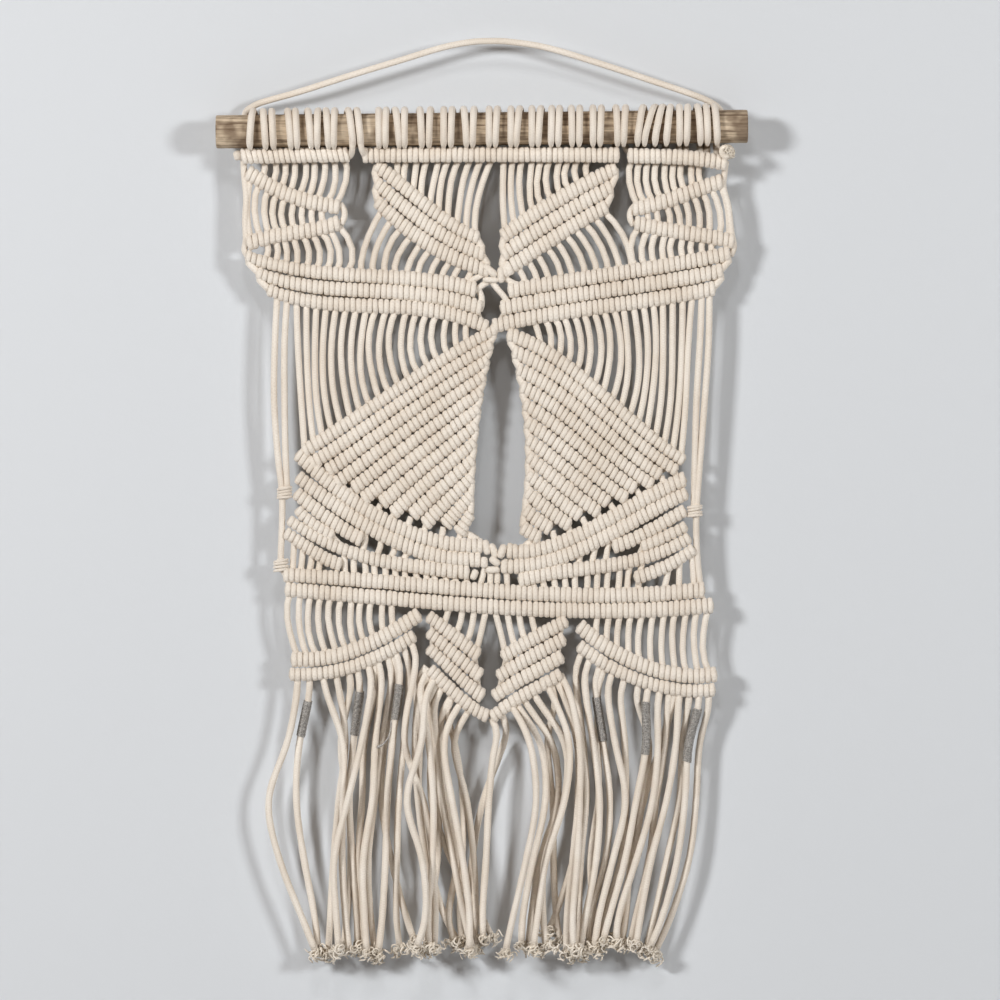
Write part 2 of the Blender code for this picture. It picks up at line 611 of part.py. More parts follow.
def make_fringe(name, backings, paths, bars):
    """Build one fringe: its knotted backing row with the strands fused into it."""
    strip = bmesh.new()
    for backing in backings:
        add_strip(strip, backing, bars)
    body = add_object(name, strip, COTTON)
    owners = {backing.bar for backing in backings}
    strands = bmesh.new()
    for strand, path in zip(STRANDS, paths):
        if strand.bar in owners:
            loft(strands, strand_rings(path, CORD, CORD, sides=4))
    unite(body, add_object(name + "_strands", strands, COTTON))


def make_winding(number, winding, path):
    """Build a thread winding as a thin sleeve round its strand."""
    points = [p for p in path if winding.bottom - 2 < p.z < winding.top + 2]
    inner = WINDING_RADIUS - WINDING_WALL
    bm = bmesh.new()
    rings = []
    for radius, order in ((WINDING_RADIUS, points), (inner, points[::-1])):
        for p in order:
            along = (points[-1] - points[0]).normalized()
            side = along.cross(Vector((0, 1, 0))).normalized()
            front = side.cross(along)
            ring = []
            for k in range(WINDING_SIDES):
                angle = 2 * math.pi * k / WINDING_SIDES
                ring.append(bm.verts.new(
                    (p + (side * math.cos(angle) + front * math.sin(angle)) * radius) * MM))
            rings.append(ring)
    for near, far in zip(rings, rings[1:] + rings[:1]):
        for k in range(WINDING_SIDES):
            j = (k + 1) % WINDING_SIDES
            bm.faces.new((near[k], near[j], far[j], far[k]))
    add_object(f"winding_{number}", bm, THREAD)


def make_dowel():
    """Build the round rod with eased ends, tilted a little up to the right."""
    bm = bmesh.new()
    bmesh.ops.create_cone(bm, cap_ends=True, segments=DOWEL_SIDES, radius1=DOWEL_RADIUS * MM,
                          radius2=DOWEL_RADIUS * MM, depth=DOWEL_LENGTH * MM)
    rims = [e for e in bm.edges if abs(e.verts[0].co.z - e.verts[1].co.z) < 1e-6]
    bmesh.ops.bevel(bm, geom=rims, offset=DOWEL_EASE * MM, segments=1, profile=0.5,
                    affect="EDGES", material=-1)
    tilt = math.atan2(DOWEL_RISE, DOWEL_LENGTH)
    dowel = add_object("dowel", bm, WOOD)
    dowel.rotation_euler = (0, math.pi / 2 - tilt, 0)
    dowel.location = place(Vector(DOWEL_MIDDLE), 0)


def smooth_route(route, count):
    """Return evenly spaced points on a smooth curve through a route."""
    route = [Vector(p) for p in route]
    fine = []
    for i in range(len(route) - 1):
        p0, p1 = route[max(i - 1, 0)], route[i]
        p2, p3 = route[i + 1], route[min(i + 2, len(route) - 1)]
        for k in range(12):
            t = k / 12
            fine.append(((2 * p1) + (p2 - p0) * t + (2 * p0 - 5 * p1 + 4 * p2 - p3) * t ** 2
                         + (3 * p1 - p0 - 3 * p2 + p3) * t ** 3) / 2)
    fine.append(route[-1])
    total = sum((b - a).length for a, b in zip(fine, fine[1:]))
    step, walked, points = total / (count - 1), 0.0, [fine[0]]
    for a, b in zip(fine, fine[1:]):
        span = (b - a).length
        while walked + span >= step * len(points) and len(points) < count - 1:
            points.append(a.lerp(b, (step * len(points) - walked) / span))
        walked += span
    return points + [fine[-1]]


def make_hanging_cord():
    """Build the hanging cord, tied behind both ends of the rod."""
    curve = bpy.data.curves.new("hanging_cord", "CURVE")
    curve.dimensions = "3D"
    curve.bevel_depth = HANGER_DIAMETER / 2 * MM
    curve.bevel_resolution = 2
    curve.use_fill_caps = True
    line = curve.splines.new("POLY")
    points = smooth_route(HANGER_ROUTE, HANGER_POINTS)
    line.points.add(len(points) - 1)
    for spot, point in zip(line.points, points):
        spot.co = (*(point * MM), 1.0)
    curve.materials.append(material(COTTON))
    made = bpy.data.objects.new("hanging_cord", curve)
    bpy.context.scene.collection.objects.link(made)


def make_end_knot():
    """Build the knot with its frayed tuft at the hanging cord's right end."""
    bm = bmesh.new()
    bmesh.ops.create_icosphere(bm, subdivisions=2, radius=END_KNOT_RADIUS * MM)
    knot = add_object("end_knot", bm, COTTON)
    knot.location = Vector(END_KNOT_MIDDLE) * MM


def main():
    """Clear the scene and build the hanging."""
    for item in list(bpy.data.objects):
        bpy.data.objects.remove(item, do_unlink=True)
    bars = {bar.name: bar for bar in BARS}
    make_dowel()
    make_hanging_cord()
    make_end_knot()
    make_panel(bars)
    paths = lay_strands(bars)
    for name, backings in FRINGES.items():
        make_fringe(name, backings, paths, bars)
    for number, winding in enumerate(WINDINGS, 1):
        make_winding(number, winding, paths[winding.strand])


main()
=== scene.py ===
"""Dresses the macrame wall hanging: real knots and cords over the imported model, a bare wood rod,
thread windings, frayed ends, a pale wall, soft light and the camera.

Lengths in the tables are millimetres. x runs to the right, z up and y towards the wall, and the
origin is the nail point under the hanging cord's peak.
"""
import logging
import math
import random
from dataclasses import dataclass, field
from enum import Enum

import bmesh
import bpy
import numpy as np
from mathutils import Matrix, Vector


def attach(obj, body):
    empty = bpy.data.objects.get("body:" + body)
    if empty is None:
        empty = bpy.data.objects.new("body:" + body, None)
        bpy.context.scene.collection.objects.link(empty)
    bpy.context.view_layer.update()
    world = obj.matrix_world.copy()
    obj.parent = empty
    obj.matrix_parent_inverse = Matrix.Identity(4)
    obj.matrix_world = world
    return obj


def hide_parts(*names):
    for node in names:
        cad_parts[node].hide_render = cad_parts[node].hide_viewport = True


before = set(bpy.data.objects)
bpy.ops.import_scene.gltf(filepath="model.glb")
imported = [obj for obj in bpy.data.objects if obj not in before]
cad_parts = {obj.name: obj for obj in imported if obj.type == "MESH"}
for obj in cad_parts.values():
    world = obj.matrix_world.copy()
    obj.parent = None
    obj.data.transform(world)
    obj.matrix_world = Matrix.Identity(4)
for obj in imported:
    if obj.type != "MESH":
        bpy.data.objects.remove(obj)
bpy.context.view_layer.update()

LOG = logging.getLogger("macrame")
MM = 0.001
MERGE_M = 1e-7
PANEL_Y = 3.0
HEADING_Y = -1.5
WALL_Y = 18.0
CORD = 3.8
KNOT_PITCH = 6.45
ROW_HEIGHT = 9.4
ROW_LEAST, ROW_MOST = 7.4, 10.4
ROW_OVERLAP = 1.05
BACKING_HEIGHT = 8.2
BACKING_DROP = 8.65
ROD_LENGTH = 304.8
ROD_RADIUS = 9.5
ROD_RISE = 3.2
ROD_MIDDLE = (-4.7, -48.8)
ANY_TURN = (0, 6.28)


def cubic(points: tuple, t: float) -> Vector:
    """Return the curve through four points at 0, 1/3, 2/3 and 1.

    Args:
        points: the four points.
        t: the place along the curve.

    Returns:
        The point at t.
    """
    a, b, c, d = (Vector(p) for p in points)
    return (a * (-4.5 * (t - 1 / 3) * (t - 2 / 3) * (t - 1))
            + b * (13.5 * t * (t - 2 / 3) * (t - 1))
            + c * (-13.5 * t * (t - 1 / 3) * (t - 1))
            + d * (4.5 * t * (t - 1 / 3) * (t - 2 / 3)))


def blend(values: tuple, s: float) -> float | Vector:
    """Interpolate evenly spaced values.

    Args:
        values: one, two or three numbers or vectors.
        s: the place between the first (0) and the last (1).

    Returns:
        The value at s.
    """
    if len(values) == 1:
        return values[0]
    if len(values) == 2:
        return values[0] * (1 - s) + values[1] * s
    return (values[0] * ((1 - s) * (1 - 2 * s)) + values[1] * (4 * s * (1 - s))
            + values[2] * (s * (2 * s - 1)))


def lift(xz: Vector, y: float) -> Vector:
    """Return a point (x, z) of the panel as (x, y, z)."""
    return Vector((xz[0], y, xz[1]))


def smooth(route: list, per_span: int = 4) -> list:
    """Round a route with a curve through all of its points.

    Args:
        route: the points.
        per_span: how many steps each stretch is drawn in.

    Returns:
        The points of the rounded route.
    """
    fine = []
    for i in range(len(route) - 1):
        p0, p1 = route[max(i - 1, 0)], route[i]
        p2, p3 = route[i + 1], route[min(i + 2, len(route) - 1)]
        for k in range(per_span):
            t = k / per_span
            fine.append(((2 * p1) + (p2 - p0) * t + (2 * p0 - 5 * p1 + 4 * p2 - p3) * t ** 2
                         + (3 * p1 - p0 - 3 * p2 + p3) * t ** 3) / 2)
    return fine + [route[-1]]


def path_length(points: list) -> float:
    """Return the length of a line through points."""
    return sum((b - a).length for a, b in zip(points, points[1:]))


@dataclass(frozen=True)
class Bar:
    """A knotted bar.

    rows counts its rows, guides are one to three lines of four points (x, z) from left to right,
    slant is how many degrees its turns lean to the right at the top, y is its depth, and heights
    is how high a single row stands from its start to its end.
    """

    name: str
    rows: int
    guides: tuple
    slant: float = 0.0
    y: float = PANEL_Y
    heights: tuple = (ROW_HEIGHT,)

    def middle(self, row: float, t: float) -> Vector:
        """Return the middle (x, z) of a row at t along it."""
        share = row / (self.rows - 1) if self.rows > 1 else 0.0
        return blend(tuple(cubic(guide, t) for guide in self.guides), share)

    def up(self, row: float, t: float) -> Vector:
        """Return the unit vector (x, z) that points up across a row at t."""
        along = (self.middle(row, t + 0.01) - self.middle(row, t - 0.01)).normalized()
        return Vector((-along.y, along.x))

    def below(self, t: float, drop: float) -> Vector:
        """Return the point `drop` millimetres under the last row at t."""
        return self.middle(self.rows - 1, t) - self.up(self.rows - 1, t) * drop

    def line(self, row: int) -> "RowLine":
        """Return a row's middle line."""
        return RowLine(tuple(self.middle(row, i / 24) for i in range(25)))

    def row_heights(self, row: int) -> tuple:
        """Return how high a row's knots stand, so that neighbouring rows just touch.

        Args:
            row: the row's number.

        Returns:
            The heights at its start, middle and end.
        """
        if self.rows == 1:
            return self.heights
        near = row + 1 if row + 1 < self.rows else row - 1
        gaps = [abs((self.middle(near, t) - self.middle(row, t)).dot(self.up(row, t)))
                for t in (0.02, 0.5, 0.98)]
        return tuple(min(ROW_MOST, max(ROW_LEAST, gap * ROW_OVERLAP)) for gap in gaps)


@dataclass(frozen=True)
class RowLine:
    """The middle line of a knotted row, as points (x, z) from left to right."""

    points: tuple

    def length(self) -> float:
        """Return the line's length."""
        return path_length(list(self.points))

    def trimmed(self, left: float, right: float) -> "RowLine":
        """Return the line with its left and right ends drawn in, or out where negative."""
        total, last = self.length() - left - right, len(self.points) - 1
        return RowLine(tuple(self.at(left + total * i / last)[0] for i in range(last + 1)))

    def at(self, distance: float) -> tuple:
        """Walk along the line.

        Args:
            distance: how far from the left end; past an end the line runs on straight.

        Returns:
            The point and the unit direction there.
        """
        walked = 0.0
        for a, b in zip(self.points, self.points[1:]):
            span = (b - a).length
            if walked + span >= distance or b is self.points[-1]:
                return a.lerp(b, (distance - walked) / span), (b - a).normalized()
            walked += span
        raise ValueError("a row line needs two points")


BARS = (
    Bar("heading_left", 1, (((-142.5, -64.6), (-122, -64.3), (-101.5, -63.9), (-81, -63.6)),),
        -12, HEADING_Y),
    Bar("heading_middle", 1, (((-73, -63.9), (-24, -63.6), (25, -63.6), (74, -63.9)),),
        0, HEADING_Y),
    Bar("heading_right", 1, (((79, -64.2), (97.5, -64.6), (116, -65.6), (135.5, -68.6)),),
        0, HEADING_Y),
    Bar("zigzag_upper_left", 1, (((-139.3, -73.2), (-121.5, -83.8), (-104.5, -90), (-86.5, -93.3)),)),
    Bar("zigzag_lower_left", 1,
        (((-139.5, -114.6), (-121.8, -109.8), (-104, -106.9), (-86.5, -102.2)),)),
    Bar("zigzag_upper_right", 1, (((82, -94.5), (99, -90.5), (116, -84.5), (133, -78.5)),)),
    Bar("zigzag_lower_right", 1, (((83, -102.5), (102, -106.5), (121, -109.5), (140, -113.5)),)),
    Bar("vee_left", 3, (((-65.5, -69), (-46.5, -84.5), (-27, -100), (-6.5, -111.5)),
                        ((-65, -90), (-44, -108.5), (-23, -121.5), (-0.5, -130)))),
    Bar("vee_right", 3, (((7, -110.5), (28.5, -95.5), (50.5, -82.5), (72.5, -71)),
                         ((7, -131), (27, -117.5), (47, -104.5), (67, -93)))),
    Bar("belt_left", 3, (((-140, -121.5), (-96.5, -131), (-52, -134), (-8, -141)),
                         ((-127.5, -141), (-85.5, -149.5), (-43.5, -151.5), (-1.5, -162.5)))),
    Bar("belt_right", 3, (((10.5, -141.5), (53, -134.5), (95, -128), (137.5, -120)),
                          ((1.5, -162), (44, -153.5), (86.5, -147.5), (129, -140)))),
    Bar("wing_left", 12, (((-108.5, -234.5), (-72, -211), (-34, -185.5), (3.5, -163.5)),
                          ((-67.5, -262.5), (-47, -245), (-27, -229), (-7, -213.5)),
                          ((-17, -279.5), (-15, -276), (-13, -272.5), (-11, -269.5)))),
    Bar("wing_right", 12, (((10, -166.5), (44, -184.5), (78.5, -213.5), (112.5, -240)),
                           ((21, -221.5), (38.5, -234.5), (55.5, -248.5), (73, -262)),
                           ((18.5, -277), (21, -279), (24, -281), (27, -283)))),
    Bar("sweep_1_left", 1, (((-110.5, -234.5), (-74.5, -264.8), (-38.5, -283), (-4.2, -287.8)),)),
    Bar("sweep_2_left", 1, (((-110.5, -248), (-75.5, -273.5), (-40.5, -290.8), (-5.5, -295.8)),),
        heights=(8.2, 9.3, 9.2)),
    Bar("sweep_3_left", 1, (((-111.5, -257.3), (-98.5, -268), (-86, -277), (-73.5, -284.5)),),
        heights=(8.2, 9.2)),
    Bar("sweep_4_left", 1, (((-110.5, -266.7), (-104, -273.3), (-97, -278.2), (-90, -282.5)),),
        heights=(6.6, 7.8)),
    Bar("sweep_5_left", 1, (((-115.5, -272.8), (-81, -291.2), (-46.5, -299.2), (-12, -303.3)),),
        heights=(6.4, 8.6, 9.2)),
    Bar("sweep_6_left", 1, (((-117.5, -280.3), (-107, -287.3), (-96.5, -294), (-85.5, -299)),),
        heights=(7.2, 8.8)),
    Bar("sweep_1_right", 1, (((9.6, -290.4), (41.5, -285.8), (77.5, -267.3), (112, -249.3)),)),
    Bar("sweep_2_right", 1, (((7, -299.5), (43, -293.5), (78.5, -276), (113, -257.5)),),
        heights=(9.2, 9.2, 8.3)),
    Bar("sweep_3_right", 1, (((70.5, -288.5), (84.5, -283), (98, -275.5), (112, -267.5)),),
        heights=(9.0, 8.0)),
    Bar("sweep_4_right", 1, (((87, -288.5), (95, -285), (104, -281), (112.5, -276.5)),),
        heights=(8.0, 7.0)),
    Bar("sweep_5_right", 1, (((16.5, -308), (49.5, -301.5), (82, -296.5), (114.5, -283)),),
        heights=(9.2, 8.8, 7.2)),
    Bar("sweep_6_right", 1, (((83, -306.5), (94.5, -302.5), (106, -297), (117, -289.5)),),
        heights=(8.8, 7.2)),
    Bar("hem", 2, (((-118.5, -304.5), (-38.5, -310.5), (42.5, -316), (123, -313)),
                   ((-117.5, -313), (-35.5, -320), (46, -325), (128, -322)))),
    Bar("scallop_left", 1, (((-114, -353), (-89, -351), (-65, -342), (-40.5, -327)),)),
    Bar("scallop_right", 1, (((51, -333.5), (75.5, -351), (103, -361), (130, -361.5)),)),
    Bar("point_left", 3, (((-35.5, -328), (-26, -335.5), (-16, -343.5), (-6.5, -351)),
                          ((-35.5, -346.5), (-25, -356), (-14.5, -366), (-4, -374.5)))),
    Bar("point_right", 3, (((7, -352), (19, -344.5), (31.5, -337.5), (44, -330.5)),
                           ((2, -374.5), (15, -366), (28.5, -358.5), (41.5, -351)))),
)
BAR = {bar.name: bar for bar in BARS}

# Which bars, by the start of their names, are knotted into which piece
KNOT_PIECES = {
    "upper_knots": ("heading", "zigzag", "vee", "belt"),
    "wing_knots": ("wing",),
    "lower_knots": ("sweep", "hem", "scallop", "point"),
}


@dataclass(frozen=True)
class Field:
    """Free strands between two bars.

    upper and lower are the bars, top and foot the first and last place along them, and bow the
    sideways bend of the first, middle and last strand.
    """

    upper: str
    top: tuple
    lower: str
    foot: tuple
    count: int
    bow: tuple


FIELDS = (
    Field("heading_left", (0.20, 0.95), "zigzag_upper_left", (0.14, 0.96), 9, (1.6, 2.8, 3.0)),
    Field("zigzag_upper_left", (0.04, 0.83), "zigzag_lower_left", (0.05, 0.83), 9, (-2.8, -3.2, -1.0)),
    Field("zigzag_lower_left", (0.18, 0.97), "belt_left", (0.08, 0.44), 9, (1.8, 3.2, 5.4)),
    Field("heading_middle", (0.13, 0.51), "vee_left", (0.19, 0.97), 10, (0.4, -1.4, -3.0)),
    Field("heading_middle", (0.55, 0.89), "vee_right", (0.03, 0.77), 10, (-0.6, -3.2, -3.2)),
    Field("heading_right", (0.05, 0.76), "zigzag_upper_right", (0.06, 0.78), 9, (-3.2, -3.0, -1.4)),
    Field("zigzag_upper_right", (0.13, 0.97), "zigzag_lower_right", (0.13, 0.95), 9, (0.8, 2.8, 3.0)),
    Field("zigzag_lower_right", (0.06, 0.80), "belt_right", (0.58, 0.93), 9, (-4.0, -3.0, -1.4)),
    Field("vee_left", (0.06, 0.88), "belt_left", (0.50, 0.95), 10, (-4.0, -2.6, -1.0)),
    Field("vee_right", (0.12, 0.95), "belt_right", (0.08, 0.56), 10, (1.0, 2.6, 4.2)),
    Field("belt_left", (0.13, 0.91), "wing_left", (0.02, 0.85), 18, (-1.0, -5.2, -1.2)),
    Field("belt_right", (0.18, 0.90), "wing_right", (0.19, 0.97), 17, (1.4, 4.8, 0.6)),
    Field("sweep_6_left", (0.16, 0.65), "hem", (0.02, 0.08), 4, (0.0, 0.0, 0.0)),
    Field("sweep_5_left", (0.31, 0.97), "hem", (0.147, 0.44), 13, (0.0, 0.0, 0.0)),
    Field("sweep_5_right", (0.06, 0.72), "hem", (0.60, 0.84), 11, (0.0, 0.0, 0.0)),
    Field("sweep_2_left", (0.38, 0.62), "sweep_5_left", (0.40, 0.62), 4, (0.6, 0.8, 0.0)),
    Field("sweep_2_right", (0.34, 0.58), "sweep_5_right", (0.27, 0.50), 4, (0.0, -0.5, -0.8)),
    Field("sweep_4_left", (0.7, 0.95), "sweep_5_left", (0.24, 0.32), 2, (0.0, 0.4, 0.0)),
    Field("sweep_4_right", (0.05, 0.3), "sweep_5_right", (0.70, 0.78), 2, (0.0, -0.4, 0.0)),
    Field("wing_left", (0.0, 0.0), "sweep_1_left", (0.94, 0.98), 2, (3.0, 3.6, 4.0)),
    Field("wing_right", (1.0, 1.0), "sweep_1_right", (0.1, 0.16), 2, (-2.4, -2.4, -2.4)),
    Field("sweep_6_right", (0.56, 0.95), "hem", (0.90, 0.975), 3, (0.0, 0.0, 0.4)),
    Field("hem", (0.012, 0.25), "scallop_left", (0.05, 0.80), 11, (-3.7, -3.2, -0.8)),
    Field("hem", (0.385, 0.472), "point_left", (0.30, 0.93), 4, (0.6, 0.9, 0.6)),
    Field("hem", (0.488, 0.575), "point_right", (0.05, 0.55), 4, (0.0, -0.5, -0.3)),
    Field("hem", (0.735, 0.99), "scallop_right", (0.14, 0.95), 11, (-0.4, -1.8, -3.4)),
)

# Strands that run free down the two edges, from the belt to the hem
EDGE_STRANDS = (
    ((-122, -141), (-123.5, -170), (-124, -204), (-122, -235), (-119.5, -257), (-119.5, -277),
     (-120, -299), (-116, -305)),
    ((-116.5, -145), (-118, -172), (-118, -204), (-117.5, -232), (-116.5, -257)),
    ((121.5, -143), (120.5, -170), (118.5, -204), (117.5, -240), (117, -268)),
    ((126, -141), (125.5, -172), (123, -208), (120.5, -240), (118.5, -268), (118.5, -285),
     (119.5, -300), (121, -313)),
)

# Cords that hug the row ends down the edges and pass round the two centres: x, y, z
LINKS = (
    ((-141.6, 3, -66), (-141.2, 3, -75), (-140, 3, -88), (-140.6, 3, -101), (-140.2, 3, -112),
     (-141, 3, -118), (-139, 3, -122)),
    ((-86, 3, -91.5), (-83.9, 2.6, -95), (-83.6, 2.6, -99), (-85.5, 3, -103.5)),
    ((135.5, 3, -67), (134.6, 3, -74), (134, 3, -82), (136.8, 3, -93), (138.4, 3, -107),
     (140, 3, -116), (138, 3, -121.5)),
    ((83, 3, -92.5), (80.6, 2.6, -96), (80.4, 2.6, -100), (82.5, 3, -104)),
    ((-79.2, -9.5, -55), (-78.8, -8, -60), (-79.2, -5, -62.5), (-80.5, -1, -64.5), (-84, 3, -66)),
    ((-74.2, -9.5, -55), (-73.6, -8, -60), (-72.4, -5, -63), (-70.5, -1, -65), (-67, 3, -67)),
    ((7.2, 3, -133.5), (11, 2.4, -135.8), (15.3, 3, -138.2), (20, 4, -141.5)),
    ((1, 3.2, -136), (4.3, 2, -140.5), (8.1, 2, -145), (10, 3, -149)),
    ((-3, 3.2, -131.5), (-8, 2.8, -134.2), (-12.4, 3, -136.8), (-18, 4, -141.5)),
    ((0, 3.4, -135.5), (-3.5, 3, -137.8), (-7, 3, -140.2), (-11, 4, -143)),
    ((-7.5, 3.4, -139.5), (-5.2, 3.4, -144), (-4.8, 3.4, -149), (-6, 3.8, -153)),
    ((-2.2, 2.8, -299.3), (-4, 3, -304), (-5.4, 3.4, -309.5)),
    ((0, 3.4, -301), (0.2, 3, -305), (0, 3.4, -309.5)),
    ((4, 3.4, -301), (4.2, 3, -305), (4, 3.4, -309.5)),
    ((8.8, 3.4, -301), (9.6, 3, -305), (9.8, 3.4, -310)),
)

# Where the rows of a bar are joined by the leader cord's folds: the places along them
SELVEDGES = {"wing_left": (0.985,), "wing_right": (0.015,), "vee_left": (0.0, 0.99),
             "vee_right": (0.01, 1.0), "belt_left": (0.0,), "belt_right": (1.0,)}

# Single loose turns at the two centres and the top left corner: x, z of both ends, depth and radius
LOOSE_TURNS = (
    ((-3.3, -127.2), (3.2, -132.8), 0.6, 2.2), ((-3.6, -135.2), (4.4, -135.4), 0.8, 1.7),
    ((6.0, -128.6), (6.4, -136.4), 0.4, 2.0), ((8.6, -126.6), (11.6, -132.2), 1.4, 2.2),
    ((-2.9, -285.0), (-1.4, -292.4), 0.8, 2.1), ((0.4, -294.8), (5.0, -298.6), 0.6, 2.1),
    ((0.7, -287.2), (3.4, -294.2), 1.0, 2.1), ((-3.5, -294.6), (-3.4, -300.2), 0.8, 2.1),
    ((-1.9, -301.8), (5.0, -301.6), 0.8, 2.0), ((5.6, -294.4), (8.2, -287.6), 0.2, 2.2),
    ((8.2, -296.4), (8.2, -303.2), 0.8, 2.1), ((-10.2, -306.8), (-8.0, -302.0), 1.4, 2.0),
    ((-145.4, -61.6), (-144.2, -66.2), 1.0, 2.3),
)

# Small ties round the edge strands: x, z
EDGE_TIES = ((-118, -257.5), (-120, -299), (117.5, -268))

# Each strand's turn round the rod: x on the rod's top and x at its foot; two neighbours are one cord
LOOP_TOPS = (-135.5, -130.5, -125.5, -116.5, -112, -105, -98.5, -94.5, -89, -82, -77, -64, -59.5,
             -55, -49, -40.5, -34, -26.5, -21.5, -15.5, -9, -0.5, 4.5, 12, 17.5, 24, 29.5, 35.5,
             40, 46.5, 51.5, 59, 64, 72, 78, 88.5, 96, 100, 104, 108.5, 113.5, 118.5, 123.5, 128)
LOOP_FEET = (-137.5, -128.5, -124, -114, -110.5, -102.5, -99, -92.5, -89.5, -78.5, -74, -63.5,
             -60, -52, -49, -39, -35, -26.5, -22.5, -13.5, -10, -0.5, 3, 12, 15, 24, 27.5, 35,
             39, 47, 51, 59, 63, 73, 76.5, 84.5, 88.5, 94.5, 101, 108.5, 112.5, 120.5, 124.5, 130)


@dataclass(frozen=True)
class FringeStrand:
    """A fringe strand.

    bar and place say where its root is, xs where it passes the four fringe levels, and end is its
    free end (x, z). depth is how far it hangs behind the panel, where it isn't laid in a layer.
    """

    bar: str
    place: float
    xs: tuple
    end: tuple
    depth: float = 0.0


def strands(bar: str, *rows: tuple) -> tuple:
    """Make the fringe strands of one bar.

    Args:
        bar: the bar's name.
        rows: for each strand its place, its four xs, its end's x and z, and its depth if it has one.

    Returns:
        The strands.
    """
    return tuple(FringeStrand(bar, row[0], row[1:5], row[5:7], *row[7:]) for row in rows)


FRINGE_LEVELS = (-400.0, -433.5, -468.0, -502.5)

FRINGE = (
    *strands(
        "scallop_left",
        (0.05, -116, -127.5, -121, -107.5, -100.5, -520),
        (0.13, -109.5, -111.5, -107, -100.5, -99, -519), (0.22, -84.5, -84.5, -85, -83, -81, -519),
        (0.31, -83, -87, -90, -92, -93, -521), (0.46, -78.5, -81, -79, -76.5, -76, -517),
        (0.54, -73.5, -81.5, -89.5, -88, -87, -518), (0.61, -66, -67.5, -73, -72, -71, -520),
        (0.68, -62, -66, -70, -68.5, -66, -523), (0.74, -56, -59, -60, -62, -64, -520),
        (0.80, -49.5, -52.5, -53.5, -54, -52, -518), (0.86, -49.5, -38, -33, -31, -32, -517),
    ),
    *strands(
        "point_left",
        (0.25, -43, -41.5, -37, -34, -37, -518), (0.35, -38.9, -48.1, -38.5, -36.9, -42, -517),
        (0.50, -31, -27.8, -21, -14.5, -10, -519), (0.66, -29, -25.5, -19, -24.5, -21, -514),
        (0.81, -26.6, -21.8, -15.5, -11.5, -12, -519), (0.95, -21.6, -13.5, -9.4, -8.2, -9, -518),
    ),
    *strands(
        "point_right",
        (-0.05, 8.6, -3.8, -10.3, -12.6, -8, -515), (-0.2, 2.9, -0.6, -2.3, -4.6, -4, -512),
        (0.19, 29, 32, 24.7, 18.4, 18, -516), (0.12, 23, 26.5, 20.5, 12.5, 9, -519),
        (0.30, 35.6, 39.2, 28.6, 23.5, 22, -517), (0.45, 43.1, 42.7, 31.2, 30.4, 32, -516),
        (0.65, 45.5, 43, 32, 27, 25, -517), (0.78, 50, 50.5, 47.5, 44, 44, -521),
    ),
    *strands(
        "scallop_right",
        (0.12, 53.5, 55.5, 52, 51, 50, -522), (0.18, 59, 63, 61, 54.5, 52, -518),
        (0.25, 65, 69, 66.5, 57, 57, -516), (0.33, 71.5, 78, 70.5, 62, 60, -518),
        (0.41, 77.5, 78, 75.5, 65, 63.5, -516), (0.56, 90, 84, 77.5, 68, 65, -514),
        (0.63, 96.5, 93.5, 84, 73, 72.5, -514), (0.69, 101, 95.5, 91.5, 83.5, 81, -515),
        (0.75, 107, 101.5, 92.5, 86, 84, -516), (0.81, 110.5, 109, 101.5, 94, 90, -519),
        (0.87, 114, 112, 107.5, 98.5, 92, -518), (0.93, 120.5, 118.5, 114.5, 103.5, 95, -521),
    ),
)

# Strands of the fringe that hang behind or before the others, with their depth
DEEP_FRINGE = (
    *strands(
        "point_left",
        (0.21, -35.1, -32.5, -33, -35.8, -35, -515.5, -8.6),
        (0.30, -34.2, -33.9, -22.8, -4.1, 0.7, -512, 6.0),
        (0.15, -40.3, -41, -35.5, -25.9, -19.8, -513, 6.4),
        (0.42, -33.9, -30, -30, -35.5, -35.5, -516, 4.6),
        (0.68, -20.5, -15.5, -16, -17.5, -16, -515, 6.2),
    ),
    *strands(
        "scallop_left",
        (0.58, -72.4, -73.5, -75.9, -74.5, -73, -516, 5.6),
        (0.40, -86, -82, -80, -82.5, -84, -517, 6.2), (0.72, -60.5, -62.5, -57, -48, -44, -514, 6.4),
    ),
    *strands(
        "point_right",
        (0.70, 32.8, 36, 36.4, 38, 40, -514, 6.2), (0.83, 52.7, 54, 47.9, 36.9, 34.2, -508, 6.0),
        (0.86, 51.3, 51.5, 50, 47.2, 47.9, -517.6, -6.4),
    ),
    *strands(
        "scallop_right",
        (0.28, 62, 62.5, 57.5, 60, 61, -515, 6.4), (0.50, 91.4, 87.6, 82.1, 73.9, 71.9, -512, 5.4),
        (0.72, 99, 88.5, 81, 78, 76, -514, 6.4),
    ),
)

# Thread windings: the strand's number in the table above, and the winding's upper and lower end
WINDINGS = ((1, -375.0, -399.0), (4, -369.0, -397.0), (8, -366.0, -390.5),
            (27, -370.5, -400.0), (30, -377.0, -408.0), (35, -381.0, -412.0))

# The knotted backing row of each fringe: its bar and where it starts and ends along it
BACKINGS = {
    "fringe_left": (("scallop_left", -0.005, 0.90),),
    "fringe_middle": (("point_left", 0.21, 1.2), ("point_right", -0.2, 0.87)),
    "fringe_right": (("scallop_right", 0.08, 0.97),),
}

